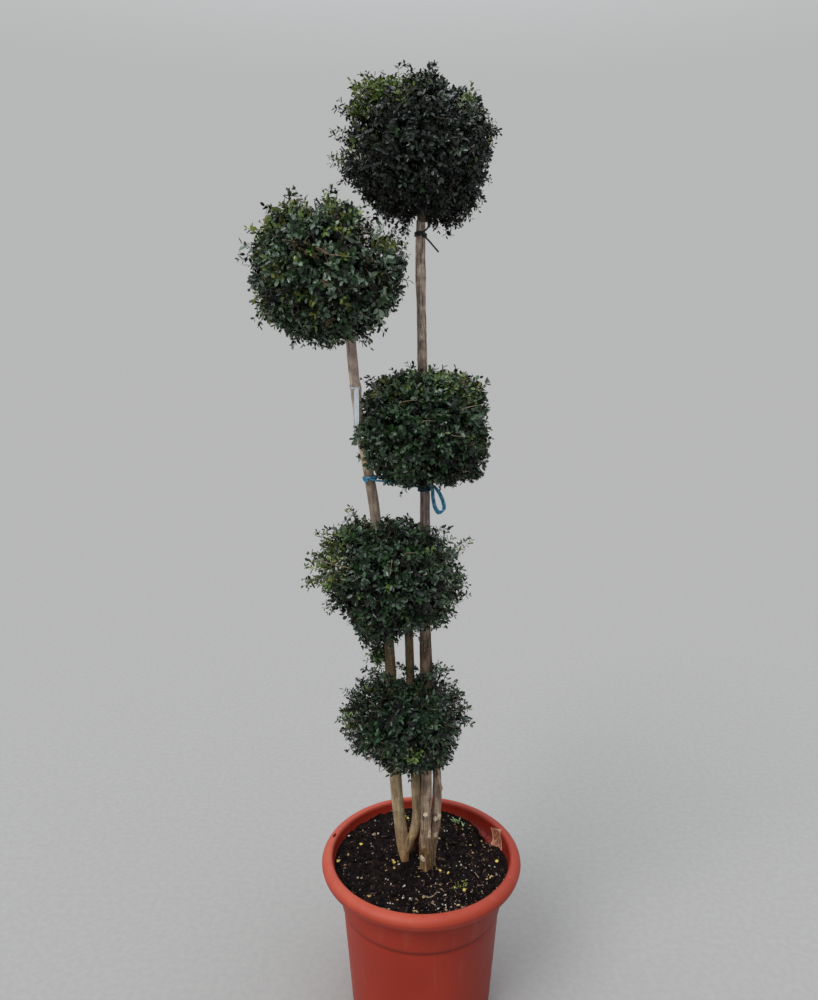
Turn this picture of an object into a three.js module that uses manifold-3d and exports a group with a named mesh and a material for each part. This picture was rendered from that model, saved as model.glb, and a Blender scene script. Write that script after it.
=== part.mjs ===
// A pompon topiary: five clipped balls of small evergreen leaves on five slender stems that rise
// together from one round pot with a rolled rim. Some stems run on up through the lower balls.
// Millimetres, +Z up, with the pot's near side at -Y. The origin is the middle of the flat underside.

import * as THREE from "three";
import { mergeVertices } from "three/addons/utils/BufferGeometryUtils.js";
import Module from "manifold-3d";

const wasm = await Module();
wasm.setup();

// The pot
const POT_HEIGHT = 390;
const RIM_RADIUS = 240; // to the outside of the rolled rim
const RIM_WIDTH = 31; // the rolled rim's width, seen from above
const RIM_DROP = 38; // the rolled rim's full height
const RIM_TUCK = THREE.MathUtils.degToRad(50); // how far the roll turns back under itself
const WALL = 4;
const BASE_RADIUS = 170;
const BASE_THICKNESS = 5;
const BASE_CORNER = 6;
const BODY_TOP_RADIUS = 191; // just under the collar
const COLLAR_DROP = 105; // from the rim's top down to the collar's lower step
const COLLAR_STEP = 3;
const COLLAR_TOP_RADIUS = 199.5;
const COLLAR_TOP_DROP = 40;
const POT_SEGMENTS = 36;
const RIM_ARC_STEPS = 6;
const DRAIN_HOLES = 6;
const DRAIN_RADIUS = 7;
const DRAIN_CIRCLE = 118;
const DRAIN_SIDES = 10;

// The potting soil
const SOIL_TOP = 348;
const SOIL_EDGE_DIP = 5; // the surface sinks a little towards the wall
const SOIL_LEVEL_RADIUS = 128; // inside this the surface is level
const SOIL_GAP = 0.5;

// Clearance between pieces that touch on the real plant
const CLEARANCE = 0.3;

// The stems, from the flat cut at the soil to the mass of leaves that each one enters.
// Each way point is x, y and height; the diameters are at the foot and at the tip.
const GROUND = SOIL_TOP + CLEARANCE;
const FLARE_HEIGHT = 26; // how fast a root flare dies away
const STEM_SIDES = 10;
const STEM_STEP = 100; // about how far apart a stem's sections lie
const STEM_FEWEST_STEPS = 6;
const STEM_CROWDING = 1.35; // over 1, so that the sections lie closer together near the foot
const STEMS = [
  {
    name: "stem_to_top_ball",
    foot: 24,
    tip: 19.5,
    flare: 4,
    swellings: [
      { height: 425, by: 1.6 },
      { height: 1736, by: 1.3 },
    ],
    way: [
      [13, -27, GROUND],
      [10, -24, 432],
      [12, -20, 560],
      [7, -7, 903],
      [6, 5, 1251],
      [0, 18, 1548],
      [-5, 28, 1782],
      [-4, 30, 1850],
    ],
  },
  {
    name: "stem_to_left_ball",
    foot: 29,
    tip: 20,
    flare: 2,
    swellings: [{ height: 452, by: 2 }],
    way: [
      [-39, 8, GROUND],
      [-47, 7, 430],
      [-60, 3, 560],
      [-74, -7, 886],
      [-108, -19, 1253],
      [-139, -25, 1450],
      [-154, -30, 1625],
    ],
  },
  {
    name: "stem_to_right_ball",
    foot: 20,
    tip: 17.5,
    flare: 3,
    swellings: [
      { height: 463, by: 1.8 },
      { height: 535, by: 1.6 },
    ],
    way: [[32, -8, GROUND], [35, -4, 463], [38, 3, 560], [14, 23, 892], [8, 30, 1130], [4, 31, 1312]],
  },
  {
    name: "stem_to_lower_ball",
    foot: 23,
    tip: 19.5,
    flare: 0,
    swellings: [],
    forksFrom: "stem_to_left_ball",
    way: [[-38, 8, 426], [-30, 9, 444], [-20, 11, 476], [-17, 12, 520], [-22, 15, 720], [-31, 19, 960]],
  },
  {
    name: "stem_to_lowest_ball",
    foot: 19,
    tip: 17,
    flare: 3,
    swellings: [],
    way: [[-9, 52, GROUND], [-6, 46, 480], [-5, 41, 642]],
  },
];

// The clipped balls of leaves. Each is a squarish ellipsoid with its own half sizes, and is pulled out
// or in towards the named sides, each a direction and a distance, before the seeded lumps are added.
const PULL_SPREAD = 0.55;
const LUMP_COUNT = 34;
const LUMP_SPREAD = 0.3;
const LUMP_HEIGHT = 6;
const BALLS = [
  {
    name: "foliage_top_ball",
    centre: [-14, 50, 1998],
    half: [170, 166],
    above: 158,
    below: 164,
    squareness: 2.35,
    detail: 5,
    seed: 11,
    pulls: [
      { side: [-0.65, -0.3, -0.7], by: -24 },
      { side: [0.7, 0, 0.72], by: -6 },
      { side: [-0.72, 0, 0.7], by: -5 },
      { side: [0.75, 0, -0.65], by: -4 },
    ],
  },
  {
    name: "foliage_left_ball",
    centre: [-199, -50, 1745],
    half: [164, 158],
    above: 146,
    below: 160,
    squareness: 2.25,
    detail: 5,
    seed: 23,
    pulls: [
      { side: [0.58, 0.32, 0.75], by: -14 },
      { side: [-0.75, 0, -0.65], by: -9 },
      { side: [0.8, 0, -0.6], by: -6 },
    ],
  },
  {
    name: "foliage_right_ball",
    centre: [6, 5, 1414],
    half: [140, 134],
    above: 132,
    below: 131,
    squareness: 2.5,
    detail: 5,
    seed: 37,
    pulls: [
      { side: [-0.7, 0, -0.7], by: -7 },
      { side: [-0.95, -0.3, 0.1], by: -3 },
    ],
  },
  {
    name: "foliage_lower_ball",
    centre: [-74, 0, 1073],
    half: [168, 158],
    above: 143,
    below: 147,
    squareness: 2.05,
    detail: 5,
    seed: 41,
    pulls: [
      { side: [-1, -0.1, 0.1], by: 14 },
      { side: [1, 0, 0.2], by: 8 },
      { side: [-0.7, 0, -0.7], by: -16 },
      { side: [0.7, 0, -0.7], by: -8 },
    ],
  },
  {
    name: "foliage_lowest_ball",
    centre: [-38, 3, 726],
    half: [150, 146],
    above: 112,
    below: 116,
    squareness: 2.1,
    detail: 4,
    seed: 59,
    pulls: [
      { side: [0.5, 0.3, 0.8], by: 9 },
      { side: [-0.6, 0.2, 0.75], by: 5 },
    ],
  },
];
const TUFT = {
  name: "foliage_side_tuft",
  centre: [-100, -9, 892],
  half: [19, 18],
  above: 38,
  below: 44,
  squareness: 2,
  detail: 2,
  seed: 67,
  pulls: [],
};

// Ties: a band of turns round a stem keeps some room to the bark and is made of flat-sided turns.
const BAND_SIDES = 18;
const TWINE_SIDES = 6;

// The twine that ties the stems together under the right ball, and its loose loop, drawn from where
// it leaves the turns on the right-hand stems
const TWINE = 5;
const TWINE_ROOM = 1.5;
const TIE_BAND = 13; // height of the turns wound round a stem
const TIE_LEFT_HEIGHT = 1303;
const TIE_RIGHT_HEIGHT = 1266;
const TIE_STRAND_DROP = 2; // one strand lies this much over the middle and the other as much under it
const TIE_STRAND_PINCH = 8; // how far the strands draw in between the stems
const TIE_LOOP_WAY = [
  [0, 0, 0],
  [6, -3, -10],
  [4, -5, -28],
  [14, -6, -46],
  [24, -5, -28],
  [14, -3, -8],
  [0, 0, 3],
];

// The black band under the top ball, with its loose end, drawn from the front of the band
const STRAP_ROOM = 0.9;
const STRAP_HEIGHT = 1812;
const STRAP_WIDTH = 17;
const STRAP_THICKNESS = 2;
const STRAP_TAIL = 4;
const STRAP_TAIL_WAY = [
  [0, 0, 0],
  [9, -4, -6],
  [22, -5, -20],
  [34, -4, -33],
];

// The blank label that hangs on the left stem by its own loop
const LABEL_ROOM = 0.9;
const LABEL_TOP = 1503;
const LABEL_DROP = 115;
const LABEL_WIDTH = 13;
const LABEL_THICKNESS = 0.8;
const LABEL_FOLDS = 3; // layers of the folded strip

const finish = (color, roughness) => new THREE.MeshStandardMaterial({ color, roughness });
const POT_FINISH = finish(0xb4523a, 0.5);
const SOIL_FINISH = finish(0x2a1f1a, 0.95);
const BARK_FINISH = finish(0x8c7d69, 0.85);
const LEAF_FINISH = finish(0x2c3a2a, 0.55);
const TWINE_FINISH = finish(0x1f76b8, 0.5);
const BAND_FINISH = finish(0x16171a, 0.6);
const LABEL_FINISH = finish(0xb6c2c8, 0.4);

// A small seeded generator of numbers from 0 to 1
function seeded(seed) {
  let state = seed;
  return () => {
    state = (state + 0x6d2b79f5) | 0;
    let mixed = Math.imul(state ^ (state >>> 15), 1 | state);
    mixed = (mixed + Math.imul(mixed ^ (mixed >>> 7), 61 | mixed)) ^ mixed;
    return ((mixed ^ (mixed >>> 14)) >>> 0) / 4294967296;
  };
}

// A geometry's closed surface as a solid that can be cut and joined
function solidFrom(geometry) {
  const bare = geometry.clone();
  bare.deleteAttribute("normal");
  bare.deleteAttribute("uv");
  const merged = mergeVertices(bare, 1e-3);
  return new wasm.Manifold(
    new wasm.Mesh({
      numProp: 3,
      vertProperties: new Float32Array(merged.getAttribute("position").array),
      triVerts: new Uint32Array(merged.index.array),
    }),
  );
}

function geometryFrom(solid) {
  const { vertProperties, triVerts } = solid.getMesh();
  const geometry = new THREE.BufferGeometry();
  geometry.setAttribute("position", new THREE.BufferAttribute(vertProperties, 3));
  geometry.setIndex(new THREE.BufferAttribute(triVerts, 1));
  geometry.computeVertexNormals();
  return geometry;
}

function piece(name, solid, material) {
  const mesh = new THREE.Mesh(geometryFrom(solid), material);
  mesh.name = name;
  return mesh;
}

// A lathe profile is drawn as radius and height, and turned about the pot's upright axis.
function turned(profile, segments) {
  const geometry = new THREE.LatheGeometry(profile, segments);
  geometry.rotateX(Math.PI / 2);
  return geometry;
}

function ellipseArc(centre, halfWidth, halfHeight, from, to, steps) {
  return Array.from({ length: steps + 1 }, (_, i) => {
    const angle = THREE.MathUtils.lerp(from, to, i / steps);
    const point = new THREE.Vector2(halfWidth * Math.cos(angle), halfHeight * Math.sin(angle));
    return point.add(centre);
  });
}

function outerRadiusAt(height) {
  const collarFoot = POT_HEIGHT - COLLAR_DROP;
  const collarTop = POT_HEIGHT - COLLAR_TOP_DROP;
  if (height <= collarFoot) {
    return THREE.MathUtils.mapLinear(height, 0, collarFoot, BASE_RADIUS, BODY_TOP_RADIUS);
  }
  const stepped = BODY_TOP_RADIUS + COLLAR_STEP;
  return THREE.MathUtils.mapLinear(height, collarFoot, collarTop, stepped, COLLAR_TOP_RADIUS);
}

function potSolid() {
  const collarFoot = POT_HEIGHT - COLLAR_DROP;
  const collarTop = POT_HEIGHT - COLLAR_TOP_DROP;
  const roll = new THREE.Vector2(RIM_RADIUS - RIM_WIDTH / 2, POT_HEIGHT - RIM_DROP / 2);
  const halfWidth = RIM_WIDTH / 2;
  const halfHeight = RIM_DROP / 2;
  const outerRoll = ellipseArc(roll, halfWidth, halfHeight, -RIM_TUCK, Math.PI, RIM_ARC_STEPS);
  const innerRoll = ellipseArc(
    roll,
    halfWidth - WALL,
    halfHeight - WALL,
    Math.PI,
    -RIM_TUCK,
    RIM_ARC_STEPS,
  );
  const floorCorner = BASE_THICKNESS + BASE_CORNER;
  const profile = [
    new THREE.Vector2(0, 0),
    new THREE.Vector2(BASE_RADIUS - BASE_CORNER, 0),
    new THREE.Vector2(outerRadiusAt(BASE_CORNER), BASE_CORNER),
    new THREE.Vector2(BODY_TOP_RADIUS, collarFoot - COLLAR_STEP),
    new THREE.Vector2(BODY_TOP_RADIUS + COLLAR_STEP, collarFoot),
    new THREE.Vector2(COLLAR_TOP_RADIUS, collarTop),
    ...innerRoll,
    ...outerRoll,
    new THREE.Vector2(COLLAR_TOP_RADIUS - WALL, collarTop),
    new THREE.Vector2(BODY_TOP_RADIUS - WALL, collarFoot - COLLAR_STEP),
    new THREE.Vector2(outerRadiusAt(floorCorner) - WALL, floorCorner),
    new THREE.Vector2(BASE_RADIUS - WALL - BASE_CORNER, BASE_THICKNESS),
    new THREE.Vector2(0, BASE_THICKNESS),
  ];
  let pot = solidFrom(turned(profile, POT_SEGMENTS));
  for (let i = 0; i < DRAIN_HOLES; i += 1) {
    const angle = (i * 2 * Math.PI) / DRAIN_HOLES;
    const drill = new THREE.CylinderGeometry(DRAIN_RADIUS, DRAIN_RADIUS, 4 * BASE_THICKNESS, DRAIN_SIDES);
    drill.rotateX(Math.PI / 2);
    drill.translate(DRAIN_CIRCLE * Math.cos(angle), DRAIN_CIRCLE * Math.sin(angle), 0);
    pot = pot.subtract(solidFrom(drill));
  }
  return pot;
}

// The soil fills the pot up to a little under the rim.
function soilSolid() {
  const collarFoot = POT_HEIGHT - COLLAR_DROP;
  const inside = (height) => outerRadiusAt(height) - WALL - SOIL_GAP;
  const floor = BASE_THICKNESS + SOIL_GAP;
  const edgeTop = SOIL_TOP - SOIL_EDGE_DIP;
  const profile = [
    new THREE.Vector2(0, floor),
    new THREE.Vector2(BASE_RADIUS - WALL - BASE_CORNER - SOIL_GAP, floor),
    new THREE.Vector2(inside(floor + BASE_CORNER) - SOIL_GAP, floor + BASE_CORNER),
    new THREE.Vector2(BODY_TOP_RADIUS - WALL - SOIL_GAP, collarFoot - COLLAR_STEP),
    new THREE.Vector2(inside(edgeTop) - SOIL_GAP, edgeTop),
    new THREE.Vector2(SOIL_LEVEL_RADIUS, SOIL_TOP),
    new THREE.Vector2(0, SOIL_TOP),
  ];
  return solidFrom(turned(profile, POT_SEGMENTS));
}

function wayOf(stem) {
  const points = stem.way.map((point) => new THREE.Vector3(...point));
  return new THREE.CatmullRomCurve3(points, false, "centripetal");
}

function stemRadius(stem, height) {
  const low = stem.way[0][2];
  const high = stem.way.at(-1)[2];
  let radius = THREE.MathUtils.mapLinear(height, low, high, stem.foot, stem.tip) / 2;
  radius += stem.flare * Math.exp(-(height - low) / FLARE_HEIGHT);
  for (const swelling of stem.swellings) {
    radius += swelling.by * Math.exp(-(((height - swelling.height) / FLARE_HEIGHT) ** 2));
  }
  return radius;
}

// A stem is a round bar, narrowed by height and bent along its way, with level sections,
// so that its foot is a flat cut on the soil.
function stemSolid(stem, extra = 0) {
  const way = wayOf(stem);
  const steps = Math.max(STEM_FEWEST_STEPS, Math.round(way.getLength() / STEM_STEP));
  const bar = new THREE.CylinderGeometry(1, 1, 1, STEM_SIDES, steps);
  bar.rotateX(Math.PI / 2);
  const position = bar.getAttribute("position");
  for (let i = 0; i < position.count; i += 1) {
    const along = THREE.MathUtils.clamp(position.getZ(i) + 0.5, 0, 1);
    const centre = way.getPointAt(along ** STEM_CROWDING);
    const radius = stemRadius(stem, centre.z) + extra;
    const x = centre.x + radius * position.getX(i);
    const y = centre.y + radius * position.getY(i);
    position.setXYZ(i, x, y, centre.z);
  }
  return solidFrom(bar);
}

// How far a ball reaches from its centre in one direction, before its seeded lumps
function ballReach(ball, toward) {
  const power = ball.squareness;
  const upright = toward.z > 0 ? ball.above : ball.below;
  const sum =
    Math.abs(toward.x / ball.half[0]) ** power +
    Math.abs(toward.y / ball.half[1]) ** power +
    Math.abs(toward.z / upright) ** power;
  let reach = sum ** (-1 / power);
  for (const pull of ball.pulls) {
    const angle = toward.angleTo(new THREE.Vector3(...pull.side));
    reach += pull.by * Math.exp(-((angle / PULL_SPREAD) ** 2));
  }
  return reach;
}

function ballSolid(ball) {
  const random = seeded(ball.seed);
  const lumps = Array.from({ length: LUMP_COUNT }, () => {
    const turn = 2 * Math.PI * random();
    const height = 2 * random() - 1;
    const across = Math.sqrt(1 - height * height);
    return {
      toward: new THREE.Vector3(across * Math.cos(turn), across * Math.sin(turn), height),
      by: LUMP_HEIGHT * (2 * random() - 1) * Math.min(1, ball.half[0] / 100),
    };
  });
  const geometry = new THREE.IcosahedronGeometry(1, ball.detail);
  const position = geometry.getAttribute("position");
  for (let i = 0; i < position.count; i += 1) {
    const toward = new THREE.Vector3().fromBufferAttribute(position, i).normalize();
    let reach = ballReach(ball, toward);
    for (const lump of lumps) {
      reach += lump.by * Math.exp(-((toward.angleTo(lump.toward) / LUMP_SPREAD) ** 2));
    }
    toward.multiplyScalar(reach).add(new THREE.Vector3(...ball.centre));
    position.setXYZ(i, toward.x, toward.y, toward.z);
  }
  return solidFrom(geometry);
}

// The outline that wraps the sections of one or more stems at one height, with some room all round
function wrapOutline(stems, height, extra) {
  const rings = stems.map((stem) => {
    const centre = pointAtHeight(stem, height);
    const radius = stemRadius(stem, height) + extra;
    return { centre, radius };
  });
  const points = [];
  for (let i = 0; i < BAND_SIDES; i += 1) {
    const angle = (i * 2 * Math.PI) / BAND_SIDES;
    const out = new THREE.Vector2(Math.cos(angle), Math.sin(angle));
    let best = null;
    for (const ring of rings) {
      const far = out.x * ring.centre.x + out.y * ring.centre.y + ring.radius;
      if (!best || far > best.far) best = { far, ring };
    }
    points.push(out.multiplyScalar(best.ring.radius).add(best.ring.centre));
  }
  return points;
}

function pointAtHeight(stem, height) {
  const way = wayOf(stem);
  let low = 0;
  let high = 1;
  for (let i = 0; i < 30; i += 1) {
    const middle = (low + high) / 2;
    if (way.getPointAt(middle).z < height) low = middle;
    else high = middle;
  }
  return way.getPointAt((low + high) / 2);
}

// A flat band of one thickness round one or more stems
function bandSolid(stems, height, tall, thickness, room) {
  const outline = new THREE.Shape(wrapOutline(stems, height, room + thickness));
  outline.holes.push(new THREE.Path(wrapOutline(stems, height, room)));
  const band = new THREE.ExtrudeGeometry(outline, { depth: tall, bevelEnabled: false });
  band.translate(0, 0, height - tall / 2);
  return solidFrom(band);
}

// A length of twine or strap: a round section swept along a smooth curve
function twineSolid(points, diameter, steps) {
  const section = new THREE.Shape();
  section.absarc(0, 0, diameter / 2, 0, 2 * Math.PI);
  const sweep = new THREE.ExtrudeGeometry(section, {
    steps,
    curveSegments: TWINE_SIDES / 2,
    bevelEnabled: false,
    extrudePath: new THREE.CatmullRomCurve3(points),
  });
  return solidFrom(sweep);
}

// A way drawn in steps from a start, as points in place
function wayFrom(start, steps) {
  return steps.map((step) => new THREE.Vector3(...step).add(start));
}

const stemNamed = (name) => STEMS.find((stem) => stem.name === name);
const TOP_STEM = stemNamed("stem_to_top_ball");
const LEFT_STEM = stemNamed("stem_to_left_ball");
const RIGHT_STEM = stemNamed("stem_to_right_ball");

function tieSolid() {
  const left = pointAtHeight(LEFT_STEM, TIE_LEFT_HEIGHT);
  const right = pointAtHeight(TOP_STEM, TIE_RIGHT_HEIGHT);
  const leftEdge = stemRadius(LEFT_STEM, TIE_LEFT_HEIGHT) + TWINE_ROOM + TWINE / 2;
  const rightEdge = stemRadius(TOP_STEM, TIE_RIGHT_HEIGHT) + TWINE_ROOM + TWINE / 2;
  let tie = bandSolid([LEFT_STEM], TIE_LEFT_HEIGHT, TIE_BAND, TWINE, TWINE_ROOM);
  tie = tie.add(bandSolid([TOP_STEM, RIGHT_STEM], TIE_RIGHT_HEIGHT, TIE_BAND, TWINE, TWINE_ROOM));
  for (const side of [-1, 1]) {
    const lift = side * TIE_STRAND_DROP;
    const start = new THREE.Vector3(left.x, left.y + side * leftEdge, TIE_LEFT_HEIGHT + lift);
    const end = new THREE.Vector3(right.x, right.y + side * rightEdge, TIE_RIGHT_HEIGHT + lift);
    const middle = start.clone().lerp(end, 0.5);
    middle.y -= side * TIE_STRAND_PINCH;
    tie = tie.add(twineSolid([start, middle, end], TWINE, 6));
  }
  const hang = new THREE.Vector3(right.x + rightEdge, right.y - TWINE, TIE_RIGHT_HEIGHT);
  return tie.add(twineSolid(wayFrom(hang, TIE_LOOP_WAY), TWINE, 20));
}

function strapSolid() {
  const band = bandSolid([TOP_STEM], STRAP_HEIGHT, STRAP_WIDTH, STRAP_THICKNESS, STRAP_ROOM);
  const centre = pointAtHeight(TOP_STEM, STRAP_HEIGHT);
  const edge = stemRadius(TOP_STEM, STRAP_HEIGHT) + STRAP_ROOM + STRAP_THICKNESS;
  const start = new THREE.Vector3(centre.x, centre.y - edge, STRAP_HEIGHT);
  return band.add(twineSolid(wayFrom(start, STRAP_TAIL_WAY), STRAP_TAIL, 6));
}

// The strip hangs plumb in front of the stem, from a loop of its own width.
function labelSolid() {
  const loopHeight = LABEL_TOP - LABEL_WIDTH / 2;
  const loop = bandSolid([LEFT_STEM], loopHeight, LABEL_WIDTH, LABEL_THICKNESS, LABEL_ROOM);
  const centre = pointAtHeight(LEFT_STEM, loopHeight);
  const depth = LABEL_FOLDS * LABEL_THICKNESS;
  const front = centre.y - stemRadius(LEFT_STEM, loopHeight) - LABEL_ROOM;
  const strip = new THREE.BoxGeometry(LABEL_WIDTH, depth, LABEL_DROP);
  strip.translate(centre.x + 1, front - depth / 2, LABEL_TOP - LABEL_DROP / 2);
  return loop.add(solidFrom(strip));
}

const topiary = new THREE.Group();
topiary.add(piece("pot", potSolid(), POT_FINISH));
topiary.add(piece("potting_soil", soilSolid(), SOIL_FINISH));

// Each stem's room is the stem with the clearance added. A fork is cut back from the stem that it
// leaves, and the right stem from the top one, against whose foot it grows.
const stems = new Map(STEMS.map((stem) => [stem.name, stemSolid(stem)]));
const stemRooms = new Map(STEMS.map((stem) => [stem.name, stemSolid(stem, CLEARANCE)]));
const forked = STEMS.find((stem) => stem.forksFrom);
stems.set(forked.name, stems.get(forked.name).subtract(stemRooms.get(forked.forksFrom)));
stems.set(RIGHT_STEM.name, stems.get(RIGHT_STEM.name).subtract(stemRooms.get(TOP_STEM.name)));
for (const [name, solid] of stems) topiary.add(piece(name, solid, BARK_FINISH));

function clearOfStems(solid) {
  for (const room of stemRooms.values()) solid = solid.subtract(room);
  return solid;
}

for (const ball of [...BALLS, TUFT]) {
  topiary.add(piece(ball.name, clearOfStems(ballSolid(ball)), LEAF_FINISH));
}

topiary.add(piece("twine_tie", clearOfStems(tieSolid()), TWINE_FINISH));
topiary.add(piece("black_band", clearOfStems(strapSolid()), BAND_FINISH));
topiary.add(piece("blank_label", clearOfStems(labelSolid()), LABEL_FINISH));

export default topiary;
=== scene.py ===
"""Looks of the pompon topiary: a plastic pot, potting mix, barked stems and clipped balls of leaves."""

import math

import bmesh
import bpy
import numpy as np
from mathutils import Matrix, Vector
from mathutils.bvhtree import BVHTree


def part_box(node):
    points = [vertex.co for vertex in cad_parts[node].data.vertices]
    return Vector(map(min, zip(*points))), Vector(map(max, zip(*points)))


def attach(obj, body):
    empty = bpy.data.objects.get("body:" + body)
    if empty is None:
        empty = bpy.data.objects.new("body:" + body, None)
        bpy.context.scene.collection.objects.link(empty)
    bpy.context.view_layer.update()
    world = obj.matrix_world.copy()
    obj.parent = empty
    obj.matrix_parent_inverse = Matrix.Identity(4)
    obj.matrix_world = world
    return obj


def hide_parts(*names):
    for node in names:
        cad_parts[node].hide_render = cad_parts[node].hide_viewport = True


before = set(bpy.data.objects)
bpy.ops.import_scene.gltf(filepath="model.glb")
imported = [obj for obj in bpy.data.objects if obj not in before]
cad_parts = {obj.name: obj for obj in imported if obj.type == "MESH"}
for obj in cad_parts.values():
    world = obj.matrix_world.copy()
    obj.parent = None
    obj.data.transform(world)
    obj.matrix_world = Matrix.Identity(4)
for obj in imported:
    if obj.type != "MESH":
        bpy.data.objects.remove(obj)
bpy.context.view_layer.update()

MM = 0.001
UP = np.array((0.0, 0.0, 1.0))
TURN = 2 * math.pi

# The camera stands where the photo was taken from, and looks down a little.
EYE = np.array((-0.0295, -1.6454, 1.5484))
PITCH = math.radians(10.2)
PICTURE_HEIGHT = 1000
VIEW_CENTRE = 409.0
FOCAL_PIXELS = 751.0
SENSOR = 36.0
FORWARD = np.array((0, math.cos(PITCH), -math.sin(PITCH)))
LIFT = np.array((0, math.sin(PITCH), math.cos(PITCH)))


# Numbers that look random and are the same on each run


def cell_value(cell, seed):
    """One repeatable value from 0 to 1 for each whole-number cell."""
    steps = (374761393, 668265263, 1442695041, 1274126177)
    low_bits = 0xFFFFFFFF
    mixed = seed * steps[3]
    for axis in range(3):
        mixed = mixed + cell[..., axis] * steps[axis]
    mixed = mixed & low_bits
    mixed = ((mixed ^ (mixed >> 13)) * steps[3]) & low_bits
    mixed = mixed ^ (mixed >> 16)
    return (mixed & 0xFFFF) / 0xFFFF


def smooth_noise(points, size, seed):
    """Noise from -1 to 1 whose lumps are about one size across."""
    scaled = np.asarray(points) / np.asarray(size)
    whole = np.floor(scaled).astype(np.int64)
    part = scaled - whole
    ease = part * part * (3 - 2 * part)
    total = np.zeros(scaled.shape[:-1])
    for corner in np.ndindex(2, 2, 2):
        weight = np.prod(np.where(corner, ease, 1 - ease), axis=-1)
        total += weight * cell_value(whole + np.array(corner), seed)
    return 2 * total - 1


def layered_noise(points, size, seed, layers=3):
    total = np.zeros(np.asarray(points).shape[:-1])
    for layer in range(layers):
        total += smooth_noise(points, np.asarray(size) / 2**layer, seed + layer) / 2**layer
    return total


# Small geometry helpers


def unit(vectors):
    vectors = np.asarray(vectors, float)
    length = np.linalg.norm(vectors, axis=-1, keepdims=True)
    return vectors / np.maximum(length, 1e-9)


def square_to(vectors, axis):
    """The part of each vector that is square to its axis, made one long."""
    along = np.sum(vectors * axis, axis=-1, keepdims=True)
    return unit(vectors - along * axis)


def fading(distance, width):
    """One in the middle, fading softly to nothing outside the width."""
    return np.exp(-((distance / width) ** 2))


def even_turns(count):
    """Even steps round one turn."""
    return TURN * np.arange(count) / count


def level_ways(turns):
    """Directions round the upright axis."""
    return np.stack([np.cos(turns), np.sin(turns), np.zeros(len(turns))], 1)


def turned(side, other, turn):
    """Each first direction turned towards its second one."""
    return side * np.cos(turn)[:, None] + other * np.sin(turn)[:, None]


def circles_square_to(ways, hint, count):
    """A ring of directions square to each way, begun on the side to which the hint leans."""
    side = square_to(np.array(hint), ways)
    other = np.cross(ways, side)
    turns = even_turns(count)
    return side[:, None] * np.cos(turns)[None, :, None] + other[:, None] * np.sin(turns)[None, :, None]


def spread_directions(count):
    """Evenly spread directions over a sphere."""
    index = np.arange(count) + 0.5
    height = 1 - 2 * index / count
    turn = math.pi * (1 + math.sqrt(5)) * index
    across = np.sqrt(1 - height**2)
    return np.stack([across * np.cos(turn), across * np.sin(turn), height], 1)


def photo_ray(x, y):
    """The direction from the camera through one place in the picture."""
    right = (x - VIEW_CENTRE) / FOCAL_PIXELS
    up = (PICTURE_HEIGHT / 2 - y) / FOCAL_PIXELS
    return unit(FORWARD + LIFT * up + np.array((right, 0, 0)))


def in_picture(points):
    """Where points show in the picture."""
    away = np.asarray(points) - EYE
    share = FOCAL_PIXELS / (away @ FORWARD)
    return np.stack([VIEW_CENTRE + away[..., 0] * share, PICTURE_HEIGHT / 2 - (away @ LIFT) * share], -1)


def at_height(x, y, height):
    """The point at one height that shows at a place in the picture."""
    ray = photo_ray(x, y)
    return EYE + ray * (height - EYE[2]) / ray[2]


def at_depth(x, y, depth):
    ray = photo_ray(x, y)
    return EYE + ray * (depth - EYE[1]) / ray[1]


def fan_faces(ring, middle, turned_over=False):
    """Triangles from a ring of corners to one middle corner."""
    following = np.roll(ring, -1)
    first, second = (following, ring) if turned_over else (ring, following)
    return np.stack([first, second, np.full(len(ring), middle)], 1)


def grid_faces(rows, columns):
    """Four-sided faces over a grid of points, and the corners round its edge in order."""
    index = np.arange(rows * columns).reshape(rows, columns)
    quads = np.stack([index[:-1, :-1], index[:-1, 1:], index[1:, 1:], index[1:, :-1]], -1).reshape(-1, 4)
    edge = np.concatenate([index[:-1, 0], index[-1, :-1], index[:0:-1, -1], index[0, :0:-1]])
    return quads, edge


def new_object(name, data):
    made = bpy.data.objects.new(name, data)
    bpy.context.scene.collection.objects.link(made)
    return made


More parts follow.
